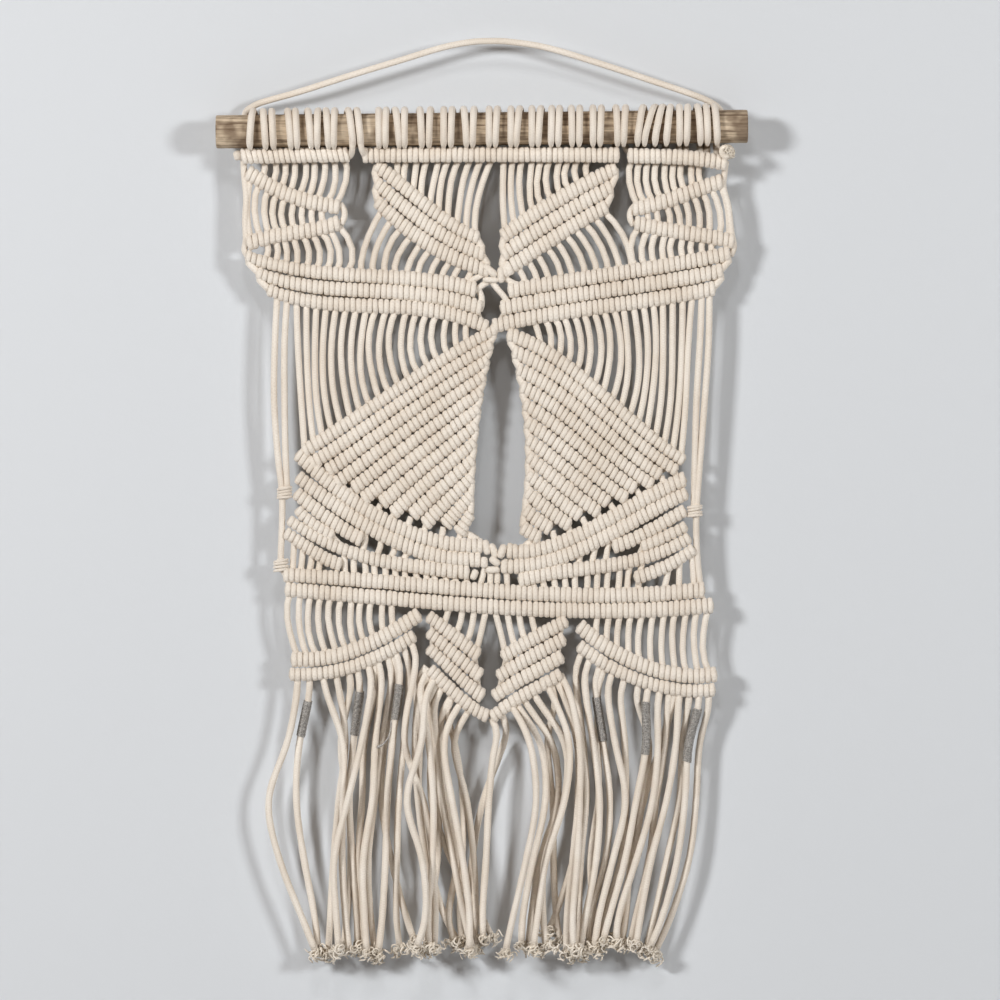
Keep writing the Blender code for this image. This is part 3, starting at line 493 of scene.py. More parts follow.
# The hanging cord's route (x, y, z), from behind the rod's left end over the nail to the right end
HANGER_ROUTE = (
    (-141.5, 9.2, -65), (-141.5, 11, -59), (-141.5, 11.8, -51), (-141.3, 11.9, -44.5),
    (-140.6, 11.2, -38.5), (-136, 9.2, -35), (-129, 6.5, -32.4), (-109, 4, -27), (-80, 3, -17.8),
    (-51, 3, -9), (-28, 3, -2), (-12, 3, 1.2), (0, 3, 1.9), (12, 3, 1.4), (33, 3, -2),
    (63, 3, -11), (92, 4, -20.5), (116, 6, -28.5), (127, 9, -33), (132.5, 11.2, -37.5),
    (134.2, 11.9, -44), (134.6, 11.9, -50), (135.2, 10.8, -55.6),
)


# ---------------------------------------------------------------- finishes

def from_hex(code: str) -> tuple:
    """Turn an sRGB hex colour into the linear colour that a shader takes.

    Args:
        code: the colour as six hex digits.

    Returns:
        Red, green, blue and alpha in linear light.
    """
    channels = [int(code[i:i + 2], 16) / 255 for i in (0, 2, 4)]
    return (*[c / 12.92 if c <= 0.04045 else ((c + 0.055) / 1.055) ** 2.4 for c in channels], 1.0)


def add_node(tree: bpy.types.NodeTree, kind: str, settings: dict | None = None,
             links: dict | None = None) -> bpy.types.Node:
    """Add a shader node with its settings and incoming links.

    Args:
        tree: the material's node tree.
        kind: the node's type, without its ShaderNode prefix.
        settings: attribute names, or input names or numbers, with their values.
        links: input names or numbers with the output sockets that feed them.

    Returns:
        The new node.
    """
    return set_up(tree, tree.nodes.new("ShaderNode" + kind), settings, links)


def set_up(tree: bpy.types.NodeTree, node: bpy.types.Node, settings: dict | None = None,
           links: dict | None = None) -> bpy.types.Node:
    """Give a node its settings and incoming links.

    Args:
        tree: the material's node tree.
        node: the node.
        settings: attribute names, or input names or numbers, with their values.
        links: input names or numbers with the output sockets that feed them.

    Returns:
        The node.
    """
    for key, value in (settings or {}).items():
        if isinstance(key, str) and hasattr(node, key):
            setattr(node, key, value)
        else:
            node.inputs[key].default_value = value
    for key, socket in (links or {}).items():
        tree.links.new(socket, node.inputs[key])
    return node


def set_stops(ramp: bpy.types.Node, dark_at: float, dark: str, light_at: float, light: str) -> None:
    """Give a colour ramp its two colours.

    Args:
        ramp: the colour ramp node.
        dark_at: the place of the dark colour.
        dark: the dark colour as sRGB hex.
        light_at: the place of the light colour.
        light: the light colour as sRGB hex.
    """
    for stop, place, code in zip(ramp.color_ramp.elements, (dark_at, light_at), (dark, light)):
        stop.position = place
        stop.color = from_hex(code)


def new_material(name: str) -> tuple:
    """Start a material.

    Args:
        name: the material's name.

    Returns:
        The material, its node tree and its Principled shader.
    """
    material = bpy.data.materials.new(name)
    material.use_nodes = True
    return material, material.node_tree, material.node_tree.nodes["Principled BSDF"]


@dataclass(frozen=True)
class CottonCord:
    """Natural unbleached cotton, braided round: matt, warm and slightly fuzzy."""

    name: str = "braided_natural_cotton_cord"
    light: str = "F0E7DB"
    shade: str = "E5D9CA"
    # The third colour is painted shade, mixed into the grooves of the braid.
    mix_colour: str = "CFC0AE"
    braid_mm: float = 1.5
    stripes: float = 3.0
    fibre_mm: float = 0.45
    blotch_mm: float = 26.0
    relief_mm: float = 0.10

    def make(self) -> bpy.types.Material:
        """Build the material: braid relief along each cord, fibre fuzz, uneven cream and painted shade
        in the braid's grooves.

        Returns:
            The material.
        """
        material, tree, shader = new_material(self.name)
        uv = add_node(tree, "UVMap", {"uv_map": "UVMap"})
        split = add_node(tree, "SeparateXYZ", links={0: uv.outputs[0]})
        along = add_node(tree, "Math", {"operation": "MULTIPLY",
                                                  1: 2 * math.pi / (self.braid_mm * MM)},
                         {0: split.outputs[0]})
        turn = add_node(tree, "Math", {"operation": "MULTIPLY",
                                                 1: 2 * math.pi * self.stripes},
                        {0: split.outputs[1]})
        waves = []
        for sign in ("ADD", "SUBTRACT"):
            slant = add_node(tree, "Math", {"operation": sign},
                             {0: along.outputs[0], 1: turn.outputs[0]})
            waves.append(add_node(tree, "Math", {"operation": "SINE"},
                                  {0: slant.outputs[0]}))
        braid = add_node(tree, "Math", {"operation": "MAXIMUM"},
                         {0: waves[0].outputs[0], 1: waves[1].outputs[0]})
        place = add_node(tree, "TexCoord")
        fibre = add_node(tree, "TexNoise", {"Scale": 1 / (self.fibre_mm * MM),
                                                      "Detail": 3.0, "Roughness": 0.6},
                         {"Vector": place.outputs["Object"]})
        blotch = add_node(tree, "TexNoise", {"Scale": 1 / (self.blotch_mm * MM),
                                                       "Detail": 3.0},
                          {"Vector": place.outputs["Object"]})
        tone = add_node(tree, "ValToRGB", links={0: blotch.outputs[0]})
        set_stops(tone, 0.30, self.shade, 0.62, self.light)
        # Painted shade: the third colour darkens the braid's grooves.
        groove_shade_mask = add_node(tree, "MapRange", {"From Min": -0.6, "From Max": 0.9,
                                                       "To Min": 0.16, "To Max": 0.0},
                          {0: braid.outputs[0]})
        colour = add_node(tree, "Mix", {"data_type": "RGBA", 7: from_hex(self.mix_colour)},
                          {0: groove_shade_mask.outputs[0], 6: tone.outputs[0]})
        height = add_node(tree, "Math", {"operation": "MULTIPLY_ADD", 1: 0.55},
                          {0: fibre.outputs[0], 2: braid.outputs[0]})
        bump = add_node(tree, "Bump", {"Strength": 0.75, "Distance": self.relief_mm * MM},
                        {"Height": height.outputs[0]})
        set_up(tree, shader, {"Roughness": 0.92, "Specular IOR Level": 0.25,
                              "Sheen Weight": 0.25, "Sheen Roughness": 0.6},
               {"Base Color": colour.outputs[2], "Normal": bump.outputs[0]})
        return material


@dataclass(frozen=True)
class DowelWood:
    """Bare softwood, dry and a little greyed: long brown grain and a sawn end."""

    name: str = "bare_pine_dowel"
    light: str = "D6C3AA"
    dark: str = "6F5D4C"
    grey: str = "D2C4B0"
    bark: str = "6A5542"
    grain_mm: float = 1.3
    grey_mm: float = 38.0
    bark_mm: float = 13.0
    relief_mm: float = 0.25
    centre_m: tuple = (0, 0.004, 0.0505)
    end: bool = False

    def make(self) -> bpy.types.Material:
        """Build the material: grain stretched along the rod, or rings on its sawn ends.

        Returns:
            The material.
        """
        material, tree, shader = new_material(self.name + ("_end" if self.end else ""))
        place = add_node(tree, "TexCoord")
        centred = add_node(tree, "Mapping", {"Location": self.centre_m},
                           {"Vector": place.outputs["Object"]})
        stretch = (0.3, 1.0, 1.0) if self.end else (0.045, 1.0, 1.0)
        scaled = add_node(tree, "Mapping", {"Scale": stretch},
                          {"Vector": centred.outputs[0]})
        grain = add_node(tree, "TexNoise", {"Scale": 1 / (self.grain_mm * MM),
                                                      "Detail": 6.0, "Roughness": 0.62,
                                                      "Distortion": 0.5},
                         {"Vector": scaled.outputs[0]})
        rings = add_node(tree, "TexWave", {"wave_type": "RINGS", "rings_direction": "X",
                                                     "Scale": 1 / (self.grain_mm * 4 * MM),
                                                     "Distortion": 2.5, "Detail": 2.0},
                         {"Vector": centred.outputs[0]})
        streak = add_node(tree, "Math", {"operation": "MULTIPLY_ADD", 1: 0.14},
                          {0: rings.outputs["Fac"], 2: grain.outputs[0]})
        tone = add_node(tree, "ValToRGB", links={0: streak.outputs[0]})
        set_stops(tone, 0.36, self.dark, 0.66, self.light)
        colour = tone.outputs[0]
        for size, detail, full_at, most, mix_colour in ((self.grey_mm, 3.0, 0.7, 0.55, self.grey),
                                                   (self.bark_mm, 2.0, 0.62, 0.7, self.bark)):
            cloud = add_node(tree, "TexNoise", {"Scale": 1 / (size * MM), "Detail": detail},
                             {"Vector": place.outputs["Object"]})
            shown = add_node(tree, "MapRange", {"From Min": 0.45, "From Max": full_at,
                                                "To Max": most}, {0: cloud.outputs[0]})
            stained = add_node(tree, "Mix", {"data_type": "RGBA", 7: from_hex(mix_colour)},
                               {0: shown.outputs[0], 6: colour})
            colour = stained.outputs[2]
        bump = add_node(tree, "Bump", {"Strength": 0.5, "Distance": self.relief_mm * MM},
                        {"Height": streak.outputs[0]})
        set_up(tree, shader, {"Roughness": 0.78, "Specular IOR Level": 0.3},
               {"Base Color": colour, "Normal": bump.outputs[0]})
        return material


@dataclass(frozen=True)
class MetallicThread:
    """Grey embroidery thread with a spun metallic strand: a dull glint on each turn."""

    name: str = "grey_metallic_thread"
    light: str = "CBC7C2"
    dark: str = "8B8782"
    speck_mm: float = 0.7

    def make(self) -> bpy.types.Material:
        """Build the material: a slightly uneven grey with a soft metal sheen.

        Returns:
            The material.
        """
        material, tree, shader = new_material(self.name)
        place = add_node(tree, "TexCoord")
        speck = add_node(tree, "TexNoise", {"Scale": 1 / (self.speck_mm * MM),
                                                      "Detail": 2.0},
                         {"Vector": place.outputs["Object"]})
        tone = add_node(tree, "ValToRGB", links={0: speck.outputs[0]})
        set_stops(tone, 0.35, self.dark, 0.65, self.light)
        set_up(tree, shader, {"Metallic": 0.2, "Roughness": 0.5}, {"Base Color": tone.outputs[0]})
        return material


@dataclass(frozen=True)
class WallPaint:
    """Matt emulsion on a wall: pale cool grey, seen from its painted side alone."""

    name: str = "matt_wall_paint"
    colour: str = "D6D8DA"
    roller_mm: float = 2.5
    relief_mm: float = 0.3

    def make(self) -> bpy.types.Material:
        """Build the material; the unpainted side lets light and sight through.

        Returns:
            The material.
        """
        material, tree, shader = new_material(self.name)
        place = add_node(tree, "TexCoord")
        mottle = add_node(tree, "TexNoise", {"Scale": 1 / (self.roller_mm * MM),
                                                       "Detail": 4.0},
                          {"Vector": place.outputs["Object"]})
        bump = add_node(tree, "Bump", {"Strength": 0.12, "Distance": self.relief_mm * MM},
                        {"Height": mottle.outputs[0]})
        set_up(tree, shader, {"Base Color": from_hex(self.colour), "Roughness": 0.95},
               {"Normal": bump.outputs[0]})
        side = add_node(tree, "NewGeometry")
        clear = add_node(tree, "BsdfTransparent")
        either = add_node(tree, "MixShader", links={0: side.outputs["Backfacing"],
                                                              1: shader.outputs[0],
                                                              2: clear.outputs[0]})
        set_up(tree, tree.nodes["Material Output"], links={"Surface": either.outputs[0]})
        return material


# ---------------------------------------------------------------- meshes and cords

def close_mesh(name: str, bm: bmesh.types.BMesh) -> bpy.types.Mesh:
    """Turn a bmesh into a mesh.

    Args:
        name: the mesh's name.
        bm: the bmesh, which is freed.

    Returns:
        The mesh.
    """
    mesh = bpy.data.meshes.new(name)
    bm.to_mesh(mesh)
    bm.free()
    return mesh


def show(name: str, bm: bmesh.types.BMesh, *materials: bpy.types.Material) -> bpy.types.Object:
    """Put a finished bmesh in the scene, as an object at the origin.

    Args:
        name: the object's name.
        bm: the bmesh, which is freed.
        materials: its materials, in the order of their numbers.

    Returns:
        The object.
    """
    piece = bpy.data.objects.new(name, close_mesh(name, bm))
    for material in materials:
        piece.data.materials.append(material)
    bpy.context.scene.collection.objects.link(piece)
    return piece


def join_model(piece: bpy.types.Object, slot: str, *nodes: str) -> None:
    """Make a piece part of the model.

    Args:
        piece: the piece.
        slot: the record's material slot; not used.
        nodes: the CAD nodes that it stands for.
    """
    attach(piece, "root")
    if nodes:
        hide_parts(*nodes)
    LOG.info("%s: %d faces", piece.name, len(piece.data.polygons))


class Narrows(Enum):
    """The side on which a turn of a knot narrows."""

    LEFT = -1
    NONE = 0
    RIGHT = 1


@dataclass
class Cords:
    """Gathers many round cords into one mesh, each with its own UV map along and round it."""

    name: str
    bm: bmesh.types.BMesh = field(default_factory=bmesh.new)

    @staticmethod
    def tube(points: list, radius: float, sides: int = 8, ends: tuple = (1.0, 1.0),
             swell: list | None = None) -> bpy.types.Mesh:
        """Sweep one round cord along a path.

        Args:
            points: the path in millimetres.
            radius: the cord's half thickness in millimetres.
            sides: 4, 6, 8 or 10 sides.
            ends: the share of the thickness left at the first and last point.
            swell: the share of the thickness at each point, where it varies.

        Returns:
            The mesh, in metres, with u in metres along the cord and v once round it.
        """
        curve = bpy.data.curves.new("sweep", "CURVE")
        curve.dimensions = "3D"
        curve.bevel_depth = radius * MM
        curve.bevel_resolution = sides // 2 - 2
        curve.use_fill_caps = True
        spline = curve.splines.new("POLY")
        spline.use_smooth = True
        spline.points.add(len(points) - 1)
        for i, (spot, point) in enumerate(zip(spline.points, points)):
            spot.co = (*(point * MM), 1.0)
            spot.radius = swell[i] if swell else 1.0
        spline.points[0].radius *= ends[0]
        spline.points[-1].radius *= ends[1]
        scratch = bpy.data.objects.new("sweep", curve)
        mesh = bpy.data.meshes.new_from_object(scratch)
        bpy.data.objects.remove(scratch)
        bpy.data.curves.remove(curve)
        layer = mesh.uv_layers[0].data
        uv = np.empty(len(layer) * 2)
        layer.foreach_get("uv", uv)
        uv[0::2] *= path_length(points) * MM
        layer.foreach_set("uv", uv)
        return mesh

    def take(self, mesh: bpy.types.Mesh) -> None:
        """Move a mesh into the piece."""
        self.bm.from_mesh(mesh)
        bpy.data.meshes.remove(mesh)

    def cord(self, points: list, radius: float, **shape: object) -> None:
        """Add one cord along a path; `shape` is passed on to tube."""
        self.take(self.tube(points, radius, **shape))

    def place(self, template: bpy.types.Mesh, matrix: Matrix) -> None:
        """Add a moved copy of a template mesh.

        Args:
            template: the mesh.
            matrix: the copy's place.
        """
        copy = template.copy()
        copy.transform(matrix)
        self.take(copy)

    def finish(self, material: bpy.types.Material, slot: str, *nodes: str) -> bpy.types.Object:
        """Close the piece and hand it to the model.

        Args:
            material: its finish.
            slot: the record's material slot.
            nodes: the CAD nodes that it stands for.

        Returns:
            The finished object.
        """
        bmesh.ops.remove_doubles(self.bm, verts=self.bm.verts, dist=MERGE_M)
        for face in self.bm.faces:
            face.smooth = True
        piece = show(self.name, self.bm, material)
        join_model(piece, slot, *nodes)
        return piece


@dataclass
class HalfHitches:
    """Rows of double half hitches: each knot is two turns of a cord round a leader cord."""

    pitch: float = KNOT_PITCH
    height: float = 8.6
    depth: float = 8.2
    cord: float = 3.9
    spin: float = 10.0
    edge: float = 0.85
    shoulder: float = 1.66
    shoulder_at: float = 0.77
    crown: float = 1.95
    core: float = -1.6
    overlap: float = 0.02
    mean_reach: float = 3.4
    square: float = 0.68
    pinch: float = 0.04
    taper: float = 0.05
    lean_share: float = 0.5
    steepest: float = 0.14
    uneven_lean: tuple = (-3, 3)
    uneven_width: tuple = (0.95, 1.06)
    uneven_depth: tuple = (0.97, 1.04)
    uneven_height: tuple = (0.97, 1.03)
    uneven_y: tuple = (-0.2, 0.15)
    uneven_z: tuple = (-0.12, 0.12)
    leader_radius: float = 2.8
    leader_ends: tuple = ((-0.5, 0.5), (-0.2, 0.8), (0.6, 1.0))
    leader_steps: int = 6
    templates: dict = field(default_factory=dict)

    def section(self) -> tuple:
        """Give the section of one turn, a cord pressed between its neighbours.

        Returns:
            Its six corners, along the leader and out from the cord's middle.
        """
        half = self.pitch / 4 + self.overlap
        bend = half * self.shoulder_at
        return ((-half, self.edge), (-bend, self.shoulder), (0, self.crown),
                (bend, self.shoulder), (half, self.edge), (0, self.core))

    def ridge(self, side: Narrows) -> bpy.types.Mesh:
        """Return one turn's mesh, spun round the leader and squared a little, made once.

        Args:
            side: where it narrows: the two turns of a knot narrow away from each other.

        Returns:
            The mesh.
        """
        if side in self.templates:
            return self.templates[side]
        bm = bmesh.new()
        ring = bmesh.ops.create_circle(bm, segments=6, radius=1.0)["verts"]
        for vert, (x, out) in zip(ring, self.section()):
            vert.co = Vector((x, self.spin + out, 0))
        bmesh.ops.spin(bm, geom=bm.edges[:] + bm.verts[:], cent=(0, 0, 0), axis=(1, 0, 0),
                       angle=2 * math.pi, steps=10, use_merge=True)
        bmesh.ops.recalc_face_normals(bm, faces=bm.faces)
        layer = bm.loops.layers.uv.new("UVMap")
        up, out = (self.height - self.cord) / 2, (self.depth - self.cord) / 2
        for face in bm.faces:
            start = math.atan2(face.calc_center_median().z, face.calc_center_median().y)
            for loop in face.loops:
                co = loop.vert.co
                turn = math.remainder(math.atan2(co.z, co.y) - start, 2 * math.pi) + start
                across = math.atan2(co.x, math.hypot(co.y, co.z) - self.spin) / (2 * math.pi)
                loop[layer].uv = (turn * self.mean_reach * MM, across)
        for vert in bm.verts:
            reach = math.hypot(vert.co.y, vert.co.z) - self.spin
            c, z = vert.co.y / (reach + self.spin), vert.co.z / (reach + self.spin)
            vert.co.y = math.copysign(abs(c) ** self.square, c) * out + c * reach
            vert.co.z = math.copysign(abs(z) ** self.square, z) * up + z * reach
            outward = max(0.0, side.value * vert.co.x / (self.pitch / 4) + 0.1) ** 2
            vert.co.y *= 1 - 0.5 * self.taper * outward
            vert.co.z *= 1 - self.taper * outward
            vert.co *= MM
        self.templates[side] = close_mesh("turn", bm)
        return self.templates[side]

    def tie(self, cords: Cords, line: RowLine, heights: tuple, chance: random.Random,
            slant: float = 0.0, y: float = PANEL_Y) -> None:
        """Tie a row of knots along a line.

        Args:
            cords: the piece that takes the knots.
            line: the row's middle line.
            heights: how high the knots stand: all along, or at the start, middle and end.
            chance: gives each turn its own small unevenness.
            slant: degrees that all the turns lean by, to the right at the top.
            y: the depth of the row's middle.
        """
        count = 2 * max(2, round(line.length() / self.pitch))
        pitch = line.length() / count
        for i in range(count):
            near = self.pinch if i % 2 == 0 else -self.pinch
            middle, along = line.at((i + 0.5) * pitch + near)
            rise = math.atan2(along.y, along.x)
            lean = max(-self.steepest, min(self.steepest, rise * self.lean_share))
            lean += math.radians(slant)
            shear = Matrix.Identity(4)
            shear[0][2] = math.tan(lean + math.radians(chance.uniform(*self.uneven_lean)))
            size = Matrix.Diagonal((pitch * 2 / self.pitch * chance.uniform(*self.uneven_width),
                                    chance.uniform(*self.uneven_depth),
                                    chance.uniform(*self.uneven_height)
                                    * blend(heights, (i + 0.5) / count) / self.height, 1))
            spot = (lift(middle, y) + Vector((0, chance.uniform(*self.uneven_y),
                                              chance.uniform(*self.uneven_z)))) * MM
            side = Narrows.RIGHT if i % 2 else Narrows.LEFT
            turn = self.ridge(Narrows.NONE if i in (0, count - 1) else side)
            cords.place(turn, Matrix.Translation(spot)
                        @ Matrix.Rotation(-rise, 4, "Y") @ shear @ size)
        self.leader(cords, line, y)

    def leader(self, cords: Cords, line: RowLine, y: float) -> None:
        """Run the leader cord through a row, its rounded ends just showing.

        Args:
            cords: the piece that takes it.
            line: the row's middle line.
            y: its depth.
        """
        total = line.length()
        start = list(self.leader_ends)
        inner = [(total * i / self.leader_steps, 1.0) for i in range(1, self.leader_steps)]
        end = [(total - place, share) for place, share in reversed(start)]
        whole = start + inner + end
        cords.cord([lift(line.at(place)[0], y) for place, _ in whole], self.leader_radius,
                   swell=[share for _, share in whole])


@dataclass
class KnottedBars:
    """All the knotted rows of the panel, with the strands that pass from row to row."""

    finish: bpy.types.Material
    knots: HalfHitches
    staggered: dict = field(default_factory=lambda: {"wing_left": (1, 0), "wing_right": (0, 1)})
    even_trim: float = 1.4
    odd_trim: float = -1.6
    bridge_radius: float = 1.6
    bridge_depth: float = 3.4
    bridge_at: tuple = (0.2, 0.5, 0.8)
    fold_radius: float = 2.1
    fold_depth: float = -0.6
    fold_inward: float = 0.012
    fold_steps: int = 4
    seed: int = 7

    def bridges(self, cords: Cords, bar: Bar, row: int) -> None:
        """Pass a strand down from each knot of a row to the row below.

        Args:
            cords: the piece that takes them.
            bar: the bar.
            row: the upper row's number.
        """
        count = max(2, round(bar.line(row + 1).length() / self.knots.pitch))
        for i in range(count):
            t = (i + 0.5) / count
            top, foot = bar.middle(row, t), bar.middle(row + 1, t)
            points = [lift(blend((top, foot), s), PANEL_Y + self.bridge_depth)
                      for s in self.bridge_at]
            cords.cord(points, self.bridge_radius, sides=6)

    def selvedge(self, cords: Cords, bar: Bar, end: float) -> None:
        """Fold the leader cord from the end of each row into the next.

        Args:
            cords: the piece that takes them.
            bar: the bar.
            end: the place along the rows where they turn.
        """
        inward = self.fold_inward if end < 0.5 else -self.fold_inward
        points = []
        for i in range(self.fold_steps * (bar.rows - 1) + 1):
            row = i / self.fold_steps
            place = bar.middle(row, end + inward * math.cos(2 * math.pi * row))
            points.append(lift(place, PANEL_Y + self.fold_depth))
        cords.cord(points, self.fold_radius)

    def build(self) -> None:
        """Knot all the bars, in three pieces."""
        for name, kinds in KNOT_PIECES.items():
            cords = Cords(name)
            chance = random.Random(self.seed)
            for bar in BARS:
                if bar.name.startswith(kinds):
                    self.knot(cords, bar, chance)
            cords.finish(self.finish, "cotton_cord", "macrame_panel")

    def knot(self, cords: Cords, bar: Bar, chance: random.Random) -> None:
        """Knot one bar.

        Args:
            cords: the piece that takes it.
            bar: the bar.
            chance: gives each turn its own small unevenness.
        """
        left, right = self.staggered.get(bar.name, (0, 0))
        for row in range(bar.rows):
            trim = self.odd_trim if row % 2 else self.even_trim
            line = bar.line(row).trimmed(left * trim, right * trim)
            self.knots.tie(cords, line, bar.row_heights(row), chance, bar.slant, bar.y)
            if row + 1 < bar.rows:
                self.bridges(cords, bar, row)
        for end in SELVEDGES.get(bar.name, ()):
            self.selvedge(cords, bar, end)


@dataclass
class FreeStrands:
    """The strands between the bars and down the edges, and the small ties on them."""

    finish: bpy.types.Material
    knots: HalfHitches
    radius: float = 1.87
    link_radius: float = 1.87 * 0.97
    turn_shape: tuple = ((-0.08, 0.45), (0.0, 0.78), (0.14, 1.0), (0.5, 1.05), (0.86, 1.0),
                         (1.0, 0.78), (1.08, 0.45))
    end_depth: float = -0.4
    sag: float = 0.8
    uneven_bow: float = 0.7
    uneven_sway: float = 0.5
    full_sway: float = 40.0
    step: float = 7.0
    tie_height: float = 9.5
    tie_half: float = 3.4
    seed: int = 11

    def field(self, cords: Cords, group: Field, chance: random.Random) -> None:
        """Hang one field of strands between its bars.

        Args:
            cords: the piece that takes them.
            group: the field.
            chance: gives each strand its own small unevenness.
        """
        upper, lower = BAR[group.upper], BAR[group.lower]
        for i in range(group.count):
            share = i / (group.count - 1)
            top = upper.middle(upper.rows - 1, blend(group.top, share))
            foot = lower.middle(0, blend(group.foot, share))
            bow = blend(group.bow, share) + chance.uniform(-self.uneven_bow, self.uneven_bow)
            sway = chance.uniform(-self.uneven_sway, self.uneven_sway)
            sway *= min(1.0, (foot - top).length / self.full_sway)
            steps = max(4, int((foot - top).length / self.step))
            points = []
            for k in range(steps + 1):
                t = k / steps
                x, z = blend((top, foot), t)
                points.append(Vector((x + bow * 4 * t * (1 - t) + sway * math.sin(2 * math.pi * t),
                                      PANEL_Y + self.sag * math.sin(math.pi * t), z)))
            cords.cord(points, self.radius)

    def row_ends(self, cords: Cords, upper: Bar, lower: Bar, end: float) -> None:
        """Pass a cord from the end of each of a bar's rows to the bar below.

        Args:
            cords: the piece that takes them.
            upper: the bar with many rows.
            lower: the bar below.
            end: the place along the rows where the cords leave them.
        """
        for row in range(1, upper.rows):
            top = upper.middle(row, end)
            foot = min((lower.middle(0, i / 80) for i in range(81)),
                       key=lambda p: (p - top).length)
            points = [lift(blend((top, foot), s), PANEL_Y + self.end_depth) for s in (0.0, 0.5, 1.0)]
            cords.cord(points, self.radius)

    def loose_turns(self, cords: Cords) -> None:
        """Add the single loose turns, with rounded ends.

        Args:
            cords: the piece that takes them.
        """
        for (x1, z1), (x2, z2), y, radius in LOOSE_TURNS:
            start, end = Vector((x1, y, z1)), Vector((x2, y, z2))
            cords.cord([start.lerp(end, place) for place, _ in self.turn_shape], radius,
                       swell=[share for _, share in self.turn_shape])

    def build(self) -> None:
        """Hang all the free strands."""
        cords = Cords("free_strands")
        chance = random.Random(self.seed)
        for group in FIELDS:
            self.field(cords, group, chance)
        for route in EDGE_STRANDS:
            cords.cord(smooth([lift(Vector(p), PANEL_Y) for p in route]), self.radius)
        for route in LINKS:
            cords.cord(smooth([Vector(p) for p in route]), self.link_radius)
        self.loose_turns(cords)
        self.row_ends(cords, BAR["wing_left"], BAR["sweep_1_left"], 0.01)
        self.row_ends(cords, BAR["wing_right"], BAR["sweep_1_right"], 0.99)
        for x, z in EDGE_TIES:
            line = RowLine((Vector((x, z + self.tie_half)), Vector((x, z - self.tie_half))))
            self.knots.tie(cords, line, (self.tie_height,), chance)
        cords.finish(self.finish, "cotton_cord", "macrame_panel")


@dataclass
class RodLoops:
    """The cords' loops round the rod: plain turns in front, the bights behind.

    Angles are in degrees, from straight behind the rod over its top.
    """

    finish: bpy.types.Material
    radius: float = 2.05
    start_at: float = -42.0
    start_gap: float = 0.2
    step: int = 20
    wrap_to: int = 281
    under_at: float = 300.0
    under_share: float = 0.7
    back_at: float = 330.0
    back_gap: float = 2.6
    bight_at: float = 352.0
    bight_share: float = 3.1
    pressed_at: float = 272.0
    pressed_span: float = 52.0
    pressed_share: float = 0.6
    slant_from: float = 70.0
    slant_span: float = 140.0

    @staticmethod
    def height(x: float) -> float:
        """Return z of the rod's axis at x."""
        return ROD_MIDDLE[1] + ROD_RISE / ROD_LENGTH * (x - ROD_MIDDLE[0])

    def around(self, x: float, angle: float, reach: float) -> Vector:
        """Return the point at an angle round the rod and a distance from its axis."""
        a = math.radians(angle)
        return Vector((x, reach * math.cos(a), self.height(x) + reach * math.sin(a)))

    @staticmethod
    def foot(x: float) -> Vector:
        """Find where a strand leaves the heading bars.

        Args:
            x: the strand's place.

        Returns:
            The point.
        """
        headings = [bar for bar in BARS if bar.name.startswith("heading")]
        spots = [bar.middle(0, i / 60) for bar in headings for i in range(2, 59)]
        return lift(min(spots, key=lambda p: abs(p.x - x)), PANEL_Y)

    def turn(self, top: float, low: float) -> list:
        """Return one strand's way from the heading bar up behind the rod, over and under it.

        Args:
            top: x on the rod's top.
            low: x at the rod's foot.

        Returns:
            The points, as far as the start of the bight.
        """
        near = ROD_RADIUS + self.radius
        points = [self.foot(low), self.around(low, self.start_at, near + self.start_gap)]
        for angle in range(-self.step, self.wrap_to, self.step):
            share = min(1.0, max(0.0, (angle - self.slant_from) / self.slant_span))
            points.append(self.around(top + (low - top) * share, angle,
                                      ROD_RADIUS + self.radius * self.pressed(angle)))
        points.append(self.around(low, self.under_at, ROD_RADIUS + self.radius * self.under_share))
        points.append(self.around(low, self.back_at, near + self.back_gap))
        return points

    def pressed(self, angle: float) -> float:
        """Return the share of a cord's thickness left where the bar presses it to the rod."""
        near = max(0.0, 1 - abs(angle - self.pressed_at) / self.pressed_span)
        return 1 - self.pressed_share * near

    def build(self) -> None:
        """Loop every cord over the rod."""
        cords = Cords("rod_loops")
        for i in range(0, len(LOOP_TOPS), 2):
            first = self.turn(LOOP_TOPS[i], LOOP_FEET[i])
            second = self.turn(LOOP_TOPS[i + 1], LOOP_FEET[i + 1])
            middle = (LOOP_FEET[i] + LOOP_FEET[i + 1]) / 2
            bight = self.around(middle, self.bight_at, ROD_RADIUS + self.bight_share * self.radius)
            points = smooth(first + [bight] + second[::-1], 2)
            swell = []
            for point in points:
                angle = math.degrees(math.atan2(point.z - self.height(point.x), point.y)) % 360
                under = angle > 180 and point.y < ROD_RADIUS * 0.6
                swell.append(self.pressed(angle) if under else 1.0)
            cords.cord(points, self.radius, swell=swell)
        cords.finish(self.finish, "cotton_cord", "macrame_panel")


# ---------------------------------------------------------------- fringe

